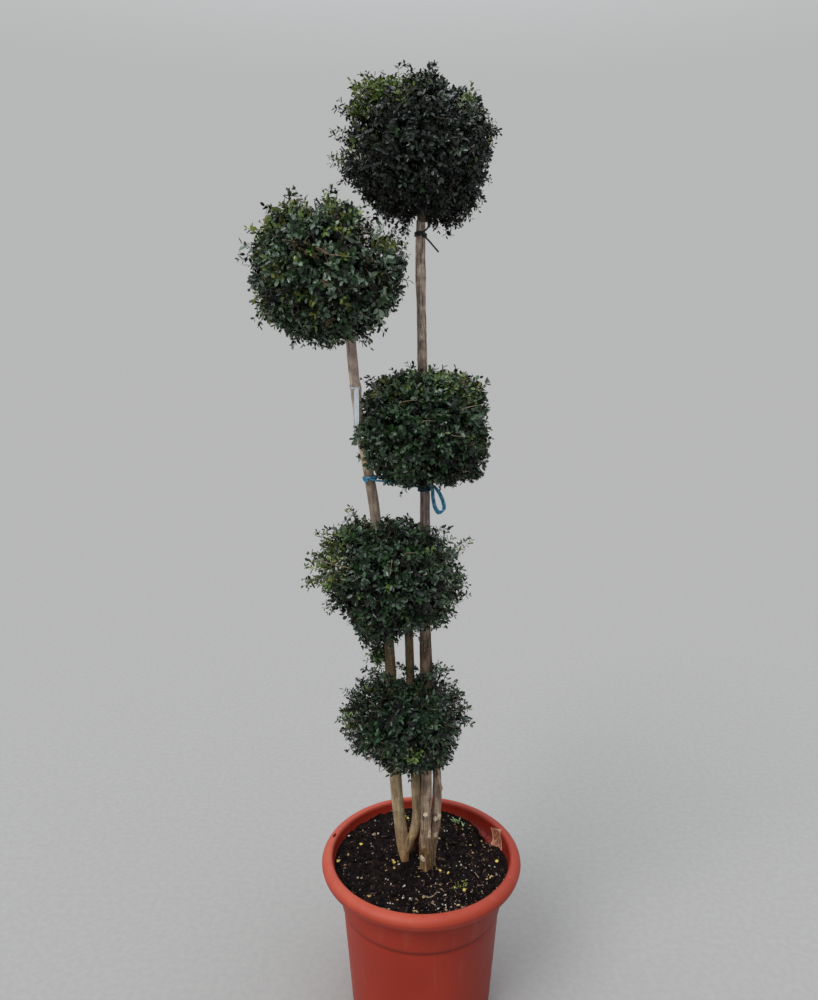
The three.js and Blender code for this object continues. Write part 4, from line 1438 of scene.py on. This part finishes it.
TUFT = {
    "node": "foliage_side_tuft", "stem": "stem_to_left_ball", "middle": (-100, -9, 892), "leaf": 0.0105,
    "wide": 0.85, "shoots": 42,
    "tones": {"shadow": 0.12, "deep": 0.32, "mid": 0.36, "light": 0.2},
    "other": ("deep", "mid"), "tips": ((374, 656, 11, 17, 12),), "dead": 4, "strays": 8, "ragged": 0.002,
    "open": 0.0, "seed": 606,
}
NONE_OF_THESE = dict.fromkeys(("outline", "places", "airy", "front", "bare", "clear"), ())


class Ball:
    """One CAD mass: its middle, and how far it reaches each way, with the outline that the photo shows."""

    def __init__(self, row):
        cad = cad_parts[row["node"]]
        low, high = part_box(row["node"])
        self.middle = np.array(row["middle"]) * MM
        self.low = np.array(low)
        self.high = np.array(high)
        points = [v.co.copy() for v in cad.data.vertices]
        tree = BVHTree.FromPolygons(points, [tuple(p.vertices) for p in cad.data.polygons])
        self.table = spread_directions(RAYS)
        # The masses are cut round the stems, so the furthest of a few near rays is the true outside.
        far = max(self.high - self.low)
        reaches = []
        for toward in self.table:
            side = square_to(np.array((0.3, 0.5, 0.8)), toward)
            other = np.cross(toward, side)
            best = 0.0
            for lean_side, lean_other in RAY_LEANS:
                way = Vector(unit(toward + side * lean_side + other * lean_other))
                hit = tree.ray_cast(Vector(self.middle) + way * far, -way)
                if hit[0] is not None:
                    best = max(best, far - hit[3])
            reaches.append(best)
        self.reaches = np.array(reaches)
        self.size = float(np.mean(self.reaches))
        self.stretch = np.ones(360 // OUTLINE_STEP)
        self.view = unit(self.middle - EYE)
        self.right = square_to(np.array((1.0, 0, 0)), self.view)
        self.lift = np.cross(self.right, self.view)
        if row["outline"]:
            clock = np.radians(OUTLINE_STEP * np.arange(360 // OUTLINE_STEP))
            facing = np.outer(np.cos(clock), self.right) + np.outer(np.sin(clock), self.lift)
            metres = (self.middle - EYE) @ FORWARD / FOCAL_PIXELS
            metres = metres * np.hypot(np.cos(clock), np.sin(clock) * (self.view @ FORWARD))
            self.stretch = np.array(row["outline"]) * metres / self.reach(facing)

    def reach(self, toward):
        """The distance from the middle to the outside in each direction."""
        near = toward @ self.table.T
        order = np.argpartition(-near, 3, axis=1)[:, :4]
        rows = np.arange(len(toward))[:, None]
        weight = np.maximum(near[rows, order] - 0.96, 1e-4) ** 2
        plain = np.sum(self.reaches[order] * weight, 1) / np.sum(weight, 1)
        across, up = toward @ self.right, toward @ self.lift
        clock = np.degrees(np.arctan2(up, across))
        stretch = np.interp(clock, OUTLINE_STEP * np.arange(len(self.stretch)), self.stretch, period=360)
        return plain * (1 + (stretch - 1) * (across**2 + up**2))

    def inside(self, points):
        """How deep each point lies, as a share of the reach: 1 is on the outside."""
        away = points - self.middle
        distance = np.linalg.norm(away, axis=1)
        return distance / self.reach(unit(away))

    def front(self, x, y, depth=0.97):
        """The point on the ball's near side that shows at a place in the picture."""
        away = np.linalg.norm(self.middle - EYE)
        along = np.arange(away - 1.6 * self.size, away + self.size, 0.002)
        points = EYE + photo_ray(x, y) * along[:, None]
        share = self.inside(points)
        within = share < depth
        return points[np.argmax(within)] if within.any() else points[np.argmin(share)]


LEADER_STEPS = 18


def limbs_inside(ball, own_stem):
    """Points and thickness along every stem inside the ball, where boughs can start."""
    points, radii = [], []
    for stem in STEMS:
        low, high = stem["way"][0][2], stem["way"][-1][2]
        heights = np.arange(low, high, 9.0)
        centre = stem_centre(stem, heights)
        line = np.stack([centre[:, 0], centre[:, 1], heights], 1) * MM
        within = ball.inside(line) < 0.93
        if own_stem is stem and not within.any():
            within = np.linalg.norm(line - ball.middle, axis=1) < ball.size + 0.02
        points.append(line[within])
        radii.append(stem_radius(stem, heights[within]) * MM)
    tip = np.array(own_stem["way"][-1]) * MM
    # The stem that ends here runs on as a leader, from just under its top.
    if np.all(tip > ball.low - 0.03) and np.all(tip < ball.high + 0.03):
        goal = ball.middle + UP * 0.35 * ball.size
        steps = np.linspace(-0.02, 1, LEADER_STEPS)[:, None]
        sway = np.array((0.008, -0.006, 0)) * np.sin(steps.clip(0, 1) * 7)
        points.append(tip * (1 - steps) + goal * steps + sway)
        radii.append(own_stem["tip"] / 2 * MM * (0.99 - 0.74 * steps[:, 0]))
    return np.concatenate(points), np.concatenate(radii)


def stem_points():
    """Points along all the stems, from which single shoots can sprout."""
    lines = []
    for stem in STEMS:
        heights = np.arange(stem["way"][0][2] + 200, stem["way"][-1][2], 6.0)
        lines.append(np.column_stack([stem_centre(stem, heights), heights]) * MM)
    return np.concatenate(lines)


GROWTH_STEPS = 70
# How far off a bud draws a bough, in metres, and how many steps off it is used up
BUD_SENSE = 0.11
USED_UP = 1.5


def grow_boughs(ball, starts, random, buds, step):
    """Boughs grow towards free buds, a step at a time, and a bud is used up when a bough comes near."""
    toward = unit(random.normal(size=(buds, 3)))
    depth = 0.35 + 0.53 * random.power(2.6, buds)
    targets = ball.middle + toward * (ball.reach(toward) * depth)[:, None]
    points = starts.copy()
    parents = np.full(len(starts), -1)
    for _ in range(GROWTH_STEPS):
        if not len(targets):
            break
        gap = np.linalg.norm(targets[:, None] - points[None], axis=2)
        nearest = np.argmin(gap, 1)
        distance = gap[np.arange(len(targets)), nearest]
        pulled = distance < BUD_SENSE
        if not pulled.any():
            break
        pull = np.zeros_like(points)
        np.add.at(pull, nearest[pulled], unit(targets[pulled] - points[nearest[pulled]]))
        active = np.flatnonzero(np.linalg.norm(pull, axis=1) > 1e-6)
        way = unit(pull[active])
        way = unit(way + random.normal(size=way.shape) * 0.16 + UP * 0.05)
        grown = points[active] + way * step
        parents = np.concatenate([parents, active])
        points = np.concatenate([points, grown])
        reach_new = np.linalg.norm(targets[:, None] - grown[None], axis=2).min(1)
        targets = targets[reach_new > step * USED_UP]
    return points, parents


def bough_radii(parents, starts, start_radii, tip_radius):
    """Each bough is as thick as what it carries asks for."""
    load = np.zeros(len(parents))
    for index in range(len(parents) - 1, starts - 1, -1):
        load[index] = max(load[index], 1.0)
        load[parents[index]] += load[index]
    radii = tip_radius * np.maximum(load, 1) ** 0.42
    radii[:starts] = start_radii
    return radii


def add_boughs(parts, points, parents, radii, starts, sides=5):
    """Tapering bars from each point to the one it grew from."""
    grown = np.arange(starts, len(points))
    parent = parents[grown]
    ring = circles_square_to(unit(points[grown] - points[parent]), (0.3, 0.8, 0.5), sides)
    thick = np.where(parent < starts, radii[grown] * 1.25, np.minimum(radii[parent], radii[grown] * 1.6))
    low = points[parent][:, None] + ring * thick[:, None, None]
    high = points[grown][:, None] + ring * radii[grown][:, None, None]
    finish = np.where(radii[grown] > 0.0016, 0, 1)
    parts.add_copies(np.concatenate([low, high], 1), ring_faces(2, sides), finish)


def tone_numbers(names):
    return np.array([TONE_NAMES.index(name) for name in names])


def pick_tones(random, toward, ball_row):
    """A tone for each spray: the ball's own mix, and the tones that belong to places on it."""
    names = list(ball_row["tones"])
    shares = np.array(list(ball_row["tones"].values()))
    picked = random.choice(len(names), len(toward), p=shares / shares.sum())
    tones = tone_numbers(names)[picked]
    for side, wide, tone, share in ball_row["places"]:
        angle = np.arccos(np.clip(toward @ unit(np.array(side)), -1, 1))
        taken = random.uniform(0, 1, len(toward)) < share * fading(angle, wide)
        tones = np.where(taken, TONE_NAMES.index(tone), tones)
    return tones


SHOOT_RINGS = 3


def add_shoots(parts, starts, bends, ends, thick, finish):
    """Thin three-sided twigs along curves given by a start, a bend and an end."""
    share = np.linspace(0, 1, SHOOT_RINGS)[None, :, None]
    line = curve_point(starts[:, None], bends[:, None], ends[:, None], share)
    ring = circles_square_to(unit(ends - starts), (0.37, 0.71, 0.6), 3)
    radii = thick[:, None] * np.linspace(1, 0.45, SHOOT_RINGS)[None]
    points = line[:, :, None] + ring[:, None] * radii[:, :, None, None]
    parts.add_copies(points, ring_faces(SHOOT_RINGS, 3), finish)


def curve_point(start, bend, end, share):
    return start * (1 - share) ** 2 + 2 * bend * share * (1 - share) + end * share**2


def curve_way(start, bend, end, share):
    return unit(2 * (bend - start) * (1 - share) + 2 * (end - bend) * share)


def add_sprays(leaves, shoots, row, random):
    """Opposite leaves in pairs down each shoot from its tip, each pair square to the one before."""
    curve = [shoots[name] for name in ("starts", "bends", "ends")]
    count = len(shoots["ends"])
    length = np.linalg.norm(shoots["ends"] - shoots["starts"], axis=1)
    roll = random.uniform(0, math.pi, count)
    spacing = row["leaf"] * 0.60 * shoots["scale"]
    for pair in range(int(shoots["pairs"].max())):
        share = 1 - (pair * spacing + 0.001) / np.maximum(length, 0.004)
        there = (share > 0.03) & (pair < shoots["pairs"])
        share = np.clip(share, 0.03, 1)[:, None]
        point = curve_point(*curve, share)
        way = curve_way(*curve, share)
        side = square_to(np.array((0.42, 0.55, 0.72)), way)
        turn = roll + pair * math.pi / 2 + random.normal(size=count) * 0.25
        across = turned(side, np.cross(way, side), turn)
        for hand in (-1, 1):
            kept = there & (random.uniform(0, 1, count) > 0.10)
            # The last pair is smaller and closes over the tip.
            spread = random.normal(1.0, 0.25, count) * (0.65 if pair == 0 else 1)
            leaf_way = turned(way, hand * across, spread)
            leaf_way = leaf_way + random.normal(size=(count, 3)) * 0.16 - UP * 0.06
            faces_up = way + shoots["outward"] * 0.35 + UP * 0.45 + random.normal(size=(count, 3)) * 0.42
            size = row["leaf"] * random.normal(1.0, 0.22, count).clip(0.5, 1.5) * shoots["scale"]
            size = size * (0.72 if pair == 0 else 1)
            wide = row["wide"] * random.normal(1.0, 0.14, count)
            changed = (random.uniform(0, 1, count) < 0.20) & (shoots["tones"] != TONE_NAMES.index("pale"))
            tone = np.where(changed, random.choice(tone_numbers(row["other"]), count), shoots["tones"])
            measures = (point + unit(leaf_way) * 0.0008, leaf_way, faces_up, size, wide, tone)
            add_leaves(leaves, *[measure[kept] for measure in measures])


def kept_airy(ball, toward, row, random):
    """Which shoots are left where the photo shows the ball thin, on its near and its far side alike."""
    across, up = toward @ ball.right, toward @ ball.lift
    kept = np.ones(len(toward), bool)
    for x, z, wide, share in row["airy"]:
        kept &= random.uniform(0, 1, len(toward)) > share * fading(np.hypot(across - x, up - z), wide)
    return kept


def outer_ends(ball, row, random):
    """Where clipped shoots end: all over the outside in tufts, but for gaps where the ball is open."""
    count = row["shoots"]
    toward = unit(spread_directions(count) + random.normal(size=(count, 3)) * 0.045)
    openness = layered_noise(toward, 0.30, row["seed"], 3) + random.uniform(-0.3, 0.3, count)
    toward = toward[openness < 1.15 - 2.4 * row["open"]]
    toward = toward[kept_airy(ball, toward, row, random)]
    count = len(toward)
    tufts = layered_noise(toward, 0.20, row["seed"] + 5, 2)
    inset = row["leaf"] * 0.45 + row["ragged"] * (0.6 - tufts).clip(0, 2)
    inset = inset + random.exponential(row["ragged"], count).clip(0, 0.035)
    ends = ball.middle + toward * (ball.reach(toward) - inset)[:, None]
    stray = unit(random.normal(size=(row["strays"], 3)))
    past = ball.reach(stray) + random.uniform(-0.004, 0.012, row["strays"])
    return np.concatenate([ends, ball.middle + stray * past[:, None]])


def inner_ends(ball, row, random):
    """Where the shaded shoots inside the ball end."""
    count = row["shoots"] // 2
    toward = unit(random.normal(size=(count, 3)))
    toward = toward[kept_airy(ball, toward, row, random)]
    depth = random.uniform(0.48, 0.82, len(toward))
    return ball.middle + toward * (ball.reach(toward) * depth)[:, None]


def kept_clear(ends, ball, row):
    """Leaves out the shoots on the near side that would cover places which the photo shows clear."""
    kept = np.ones(len(ends), bool)
    near = (ends - ball.middle) @ ball.view < 0
    places = in_picture(ends)
    for x, y, radius in row["clear"]:
        kept &= ~(near & (np.hypot(places[:, 0] - x, places[:, 1] - y) < radius))
    return ends[kept]


# How far past its CAD mass a spray's tip may lie, in metres
STRAY_ROOM = 0.018


def make_shoots(ball, row, random, ends, points, below, pairs, scale, tones=None):
    """Shoots to the given ends, each from the nearest bough below its own leaves."""
    ends = np.clip(ends, ball.low - STRAY_ROOM, ball.high + STRAY_ROOM)
    outward = unit(ends - ball.middle)
    bases = points[nearest_rows(ends - outward * below, points)]
    length = np.linalg.norm(ends - bases, axis=1, keepdims=True)
    bends = (bases + ends) / 2 + random.normal(size=ends.shape) * 0.10 * length + UP * 0.05 * length
    picked = pick_tones(random, outward, row)
    if tones is not None:
        picked = random.choice(tone_numbers(tones), len(ends))
    return {
        "starts": bases,
        "bends": bends - outward * 0.06 * length,
        "ends": ends,
        "outward": outward,
        "tones": picked,
        "pairs": np.full(len(ends), pairs),
        "scale": np.full(len(ends), scale),
    }


def sprig_tips(rows, depth, give, random):
    """Ends of the single shoots in sprigs: a picture point, the scatter across and down, and how many."""
    tips = []
    for x, y, across, down, count in rows:
        for _ in range(count):
            turn = random.uniform(0, TURN)
            away = math.sqrt(random.uniform(0.1, 1))
            place = (x + across * away * math.cos(turn), y + down * away * math.sin(turn))
            tips.append(at_depth(*place, depth + random.uniform(-give, give)))
    return tips


# The sprigs before the stems grow at this depth.
FRONT_DEPTH = -0.052


def build_ball(row, leaf_finishes, twig_finishes):
    """One clipped ball: boughs from the stems inside it, leafy shoots clipped at its outside, and strays."""
    random = np.random.default_rng(row["seed"])
    ball = Ball(row)
    own_stem = stem_named(row["stem"])
    starts, start_radii = limbs_inside(ball, own_stem)
    small = row["node"] == TUFT["node"]
    buds, step, tip, below = (40, 0.006, 0.0007, 0.02) if small else (620, 0.0125, 0.0010, 0.045)
    points, parents = grow_boughs(ball, starts, random, buds, step)
    radii = np.minimum(bough_radii(parents, len(starts), start_radii, tip), own_stem["tip"] / 2 * MM)
    twigs = Parts()
    add_boughs(twigs, points, parents, radii, len(starts))
    if not small:
        add_tube(twigs, starts[-LEADER_STEPS:], start_radii[-LEADER_STEPS:], 8, 0)

    outer = kept_clear(outer_ends(ball, row, random), ball, row)
    groups = [make_shoots(ball, row, random, outer, points, below, 6, 1.0)]
    if not small:
        inner = kept_clear(inner_ends(ball, row, random), ball, row)
        groups.append(make_shoots(ball, row, random, inner, points, 0.03, 4, 1.3, ("shadow",)))
    sprouting = np.concatenate([points, stem_points()])
    tips = sprig_tips(row["tips"], ball.middle[1], 0.02, random)
    tips += sprig_tips(row["front"], FRONT_DEPTH, 0.006, random)
    groups.append(make_shoots(ball, row, random, np.array(tips), sprouting, 0.02, 7, 0.9))
    shoots = {key: np.concatenate([group[key] for group in groups]) for key in groups[0]}
    count = len(shoots["ends"])
    thick = 0.00055 + 0.0003 * random.uniform(0, 1, count)
    green = random.choice((0, 1, 2), count, p=(0.45, 0.45, 0.10))
    add_shoots(twigs, shoots["starts"], shoots["bends"], shoots["ends"], thick, green)
    leaves = Parts()
    add_sprays(leaves, shoots, row, random)
    add_dead_twigs(twigs, ball, row, points, random)
    add_bare_twigs(twigs, ball, row, points)
    name = row["node"].replace("foliage_", "")
    leaves.piece("leaves_of_" + name, leaf_finishes, [row["node"]])
    twigs.piece("twigs_of_" + name, twig_finishes)


def add_dead_twigs(twigs, ball, row, points, random):
    """Thin clipped twigs without leaves, all over the ball's outside."""
    toward = unit(random.normal(size=(row["dead"], 3)))
    ends = ball.middle + toward * (ball.reach(toward) - random.uniform(0.004, 0.022, row["dead"]))[:, None]
    bare = make_shoots(ball, row, random, ends, points, 0.035, 0, 1.0)
    lean = square_to(random.normal(size=ends.shape), toward) * random.uniform(0.006, 0.022, (len(ends), 1))
    thick = random.uniform(0.0005, 0.0008, len(ends))
    finish = random.choice((0, 2), len(ends), p=(0.5, 0.5))
    add_shoots(twigs, bare["starts"], bare["bends"], bare["ends"] + lean, thick, finish)


def add_bare_twigs(twigs, ball, row, points):
    """Dead twigs that the clipping left bare across the ball's front."""
    for x1, y1, x2, y2 in row["bare"]:
        near, far = ball.front(x1, y1, 0.97), ball.front(x2, y2, 0.95)
        below = near - unit(near - ball.middle) * 0.05
        root = points[nearest_rows(below[None], points)[0]]
        middle = (near + far) / 2 + unit(near - ball.middle) * 0.004
        path = smooth_path([root, near, middle, far], 4)
        add_tube(twigs, path, np.linspace(0.0009, 0.0004, len(path)), 5, 2)


def nearest_rows(points, others, block=400):
    found = []
    for begin in range(0, len(points), block):
        part = points[begin : begin + block]
        found.append(np.argmin(np.linalg.norm(part[:, None] - others[None], axis=2), 1))
    return np.concatenate(found)


def build_foliage():
    leaf_finishes = [leaf_finish("leaf_" + tone, *look) for tone, look in LEAF_TONES.items()]
    twig_finishes = [mottled_material(name, *look) for name, *look in TWIGS]
    for row in (*BALLS, TUFT):
        build_ball({**NONE_OF_THESE, **row}, leaf_finishes, twig_finishes)


# The ties and the label

TWINE = 2.1
TIE_LEFT_HEIGHT = 1306
TIE_RIGHT_HEIGHT = 1280
STRAP_HEIGHT = 1821
LABEL_TOP = 1503
LABEL_DROP = 115
LABEL_WIDTH = 11
LABEL_LOOP = 4
LABEL_THICK = 0.5
# Steps for each turn of a cord round a stem
WRAP_STEPS = 40
# Each blue: its name, the strands' colour and their duller patches
TWINE_BLUES = (
    ("twine_blue", (48, 134, 176), (28, 96, 138)),
    ("twine_bright_blue", (100, 178, 206), (54, 134, 170)),
    ("twine_dark_blue", (14, 58, 88), (7, 34, 58)),
)
# The ways of the hanging loop, of the knot at the left stem with its cut end, and of the strap's two ends
LOOP_WAY = (
    (-12, 12, 2), (-2, 2, 6), (6, -3, -4), (8, -5, -26), (14, -6, -50), (22, -6, -59), (32, -5, -52),
    (29, -5, -30), (18, -3, -8), (4, 6, 6),
)
KNOT_WAY = ((-3, 2, -3), (0, -3, 2), (4, -4, -2), (1, -2, -5), (-3, -1, 0), (-5, -2, 6))
STRAP_ENDS = (((9, -4, -6), (22, -5, -20), (34, -4, -33)), ((8, -2, 5), (13, 2, 14), (15, 8, 25)))


def add_twine(parts, path, thick, lay=16.0, kinds=(0, 1, 0)):
    """Twine laid up from strands that wind round each other. Millimetres."""
    gaps = np.linalg.norm(np.diff(path, axis=0), axis=1)
    travelled = np.concatenate([[0], np.cumsum(gaps)])
    even = np.arange(0, travelled[-1], 1.4)
    line = np.stack([np.interp(even, travelled, path[:, axis]) for axis in range(3)], 1)
    tangent = unit(np.gradient(line, axis=0))
    side = square_to(np.array((0.3, 0.2, 0.9)), tangent[0])
    sides = []
    for way in tangent:
        side = square_to(side, way)
        sides.append(side)
    sides = np.array(sides)
    others = np.cross(tangent, sides)
    for strand, kind in enumerate(kinds):
        offset = turned(sides, others, TURN * (even / lay + strand / len(kinds)))
        add_tube(parts, (line + offset * thick * 0.48) * MM, thick * 0.56 * MM, 6, kind)


def wrap_path(stems, height, room, turns, pitch, start):
    """A path wound round one or more stems, as tight as their shapes let it."""
    steps = np.arange(0, turns * WRAP_STEPS + 1)
    out = level_ways(math.radians(start) + TURN * steps / WRAP_STEPS)[:, :2]
    level = height + pitch * (steps / WRAP_STEPS - turns / 2)
    best = np.full(len(steps), -1e9)
    points = np.zeros((len(steps), 2))
    for stem in stems:
        centre = stem_centre(stem, level)
        radius = stem_radius(stem, level) + room
        far = np.sum(out * centre, 1) + radius
        better = far > best
        points[better] = (centre + out * radius[:, None])[better]
        best = np.maximum(best, far)
    return np.column_stack([points, level])


def build_twine():
    finishes = [mottled_material(name, *blues, (120.0, 1500.0), 0.25, 0.45) for name, *blues in TWINE_BLUES]
    parts = Parts()
    left, top, right = map(stem_named, ("stem_to_left_ball", "stem_to_top_ball", "stem_to_right_ball"))
    room = 0.8 + TWINE
    around_left = wrap_path([left], TIE_LEFT_HEIGHT, room, 1.5, 4.4, -90)
    around_right = wrap_path([top, right], TIE_RIGHT_HEIGHT, room, 3.5, 4.6, 90)
    # The turns round the right stems take a darker blue as painted shade.
    for around, kinds in ((around_left, (1, 0, 1)), (around_right, (2, 2, 2))):
        add_twine(parts, smooth_path(around[::2], 2), TWINE * 1.1, kinds=kinds)
    for start, end, pinch in ((around_left[0], around_right[-1], 4), (around_left[-1], around_right[0], -4)):
        middle = (start + end) / 2 + np.array((0, pinch, -1))
        add_twine(parts, smooth_path([start, middle, end], 12), TWINE)
    hang = around_right[0] * 0.3 + around_right[10] * 0.7
    hang = np.array((hang[0] + 18, hang[1] - 26, TIE_RIGHT_HEIGHT + 4))
    # Two strands hang side by side as a loop.
    for shift, reach in ((0, 1.0), (5, 0.93)):
        path = [hang + np.array((x + shift * 0.6, y - shift * 0.7, z * reach)) for x, y, z in LOOP_WAY]
        add_twine(parts, smooth_path(path, 8), TWINE * 1.25)
    knot = around_left[0] + np.array((-9, -1, 1))
    add_twine(parts, smooth_path(knot + np.array(KNOT_WAY), 6), TWINE * 0.9)
    return parts.piece("blue_twine", finishes, ["twine_tie"])


def build_strap():
    finish = mottled_material("strap_black", (26, 27, 30), (38, 38, 42), (90.0, 900.0), 0.2, 0.5)
    parts = Parts()
    around = wrap_path([stem_named("stem_to_top_ball")], STRAP_HEIGHT, 2.2, 2, 4.4, -70)
    add_tube(parts, smooth_path(around[::2], 2) * MM, 2.1 * MM, 8)
    for start, way in zip((around[0], around[-1]), STRAP_ENDS):
        path = smooth_path([start, *(start + np.array(way))], 6)
        add_tube(parts, path * MM, 1.9 * MM, 8)
    return parts.piece("black_strap", [finish], ["black_band"])


def build_label():
    """A strip of thin plastic hung by its own narrow loop, bowed a little, with nothing on it."""
    finish = mottled_material("label_plastic", (222, 229, 234), (208, 218, 226), (60.0, 900.0), 0.05, 0.38)
    parts = Parts()
    left = stem_named("stem_to_left_ball")
    loop_height = LABEL_TOP - LABEL_LOOP / 2 - 1
    centre = stem_centre(left, np.array([loop_height]))[0]
    radius = float(stem_radius(left, np.array([loop_height]))[0]) + 1.6
    # Down the front in two layers, and round the stem as a loop
    for drop, gap in ((LABEL_DROP, 0.0), (LABEL_DROP - 9, 1.5)):
        rows = np.linspace(0, 1, 24)
        outline = []
        for row in rows:
            swell = math.sin(row * math.pi) * 1.2 + row**2 * 1.5
            taper = (1 - 0.3 * max(0, row - 0.93) / 0.07) * (1 - 0.25 * max(0, 0.04 - row) / 0.04)
            for side in (-1, -0.5, 0, 0.5, 1):
                out = centre[1] - radius - 0.5 - gap - swell - 0.5 * (1 - side**2)
                outline.append((centre[0] + 3 + side * LABEL_WIDTH / 2 * taper, out, LABEL_TOP - row * drop))
        add_sheet(parts, np.array(outline).reshape(len(rows), 5, 3), np.array((0, -1, 0)))
    ring = []
    for turn in np.linspace(0, TURN, 33):
        across = centre + np.array((math.cos(turn), math.sin(turn))) * radius
        # The loop rides up a little at the back of the stem.
        level = loop_height + 3 * math.sin(turn) + 3
        ring.append([(*across, level - LABEL_LOOP / 2), (*across, level + LABEL_LOOP / 2)])
    ring = np.array(ring)
    add_sheet(parts, ring, unit((ring - np.array((*centre, 0))) * (1, 1, 0)))
    return parts.piece("blank_label_strip", [finish], ["blank_label"])


def add_sheet(parts, grid, outward):
    """A thin sheet of even thickness over a grid of points. Millimetres."""
    front = grid + np.broadcast_to(outward, grid.shape) * LABEL_THICK
    points = np.concatenate([grid.reshape(-1, 3), front.reshape(-1, 3)]) * MM
    quads, edge = grid_faces(*grid.shape[:2])
    offset = grid.shape[0] * grid.shape[1]
    following = np.roll(edge, -1)
    rim = np.stack([edge, following, following + offset, edge + offset], 1)
    parts.add(points, np.concatenate([quads[:, ::-1], quads + offset, rim]))


# The studio


FLOOR_REACH = 400.0
FLOOR_GREYS = ((158, 157, 155), (162, 161, 159))
# The sky's light near the ground and overhead, and the heights between which it changes
SKY_LIGHT = ((0.474, 0.477, 0.478, 1), (1.45, 1.50, 1.58, 1))
SKY_SPAN = (0.30, 0.96)


def build_stage():
    size = FLOOR_REACH
    mesh = bpy.data.meshes.new("studio_floor")
    corners = [(-size, -size, 0), (size, -size, 0), (size, size, 0), (-size, size, 0)]
    mesh.from_pydata(corners, [], [(0, 1, 2, 3)])
    material, sockets, wires, place = new_material("floor_paint", 0.9, 0.0)
    grain = wires.span(wires.noise(place, 60.0, 2.0), 0.3, 0.7)
    wires.feed(sockets["Base Color"], wires.mix(grain, *(srgb(*grey) for grey in FLOOR_GREYS)))
    mesh.materials.append(material)
    new_object("studio_floor", mesh)


def soft_sun(name, toward, strength, spread, tint):
    """A distant light with a wide face, so that its shadows are soft. It shines the way given."""
    data = bpy.data.lights.new(name, "SUN")
    data.energy = strength
    data.angle = math.radians(spread)
    data.color = tint
    light = new_object(name, data)
    light.rotation_mode = "QUATERNION"
    light.rotation_quaternion = Vector(toward).to_track_quat("-Z", "Y")
    light.location = -3 * Vector(toward)


def build_lights():
    world = bpy.data.worlds.new("studio_sky")
    bpy.context.scene.world = world
    world.use_nodes = True
    wires = Wiring(world.node_tree)
    back = world.node_tree.nodes["Background"].inputs
    height = wires.split(wires.read("TexCoord", output="Generated"))[2]
    wires.feed(back["Color"], wires.mix(wires.span(height, *SKY_SPAN), *SKY_LIGHT))
    back["Strength"].default_value = 1.0
    soft_sun("key", (0.50, 0.52, -0.80), 1.3, 28, (1.0, 0.985, 0.96))


def build_camera():
    data = bpy.data.cameras.new("photo_view")
    data.sensor_width = SENSOR
    data.lens = SENSOR * FOCAL_PIXELS / PICTURE_HEIGHT
    data.clip_start, data.clip_end = 0.05, 200
    camera = new_object("photo_view", data)
    camera.location = EYE
    camera.rotation_euler = (math.pi / 2 - PITCH, 0, 0)
    bpy.context.scene.camera = camera


build_camera()
build_stage()
build_lights()
bpy.context.scene.view_settings.view_transform = "Standard"
build_pot()
build_soil()
build_crumbs()
build_litter()
build_stems()
build_foliage()
build_twine()
build_strap()
build_label()
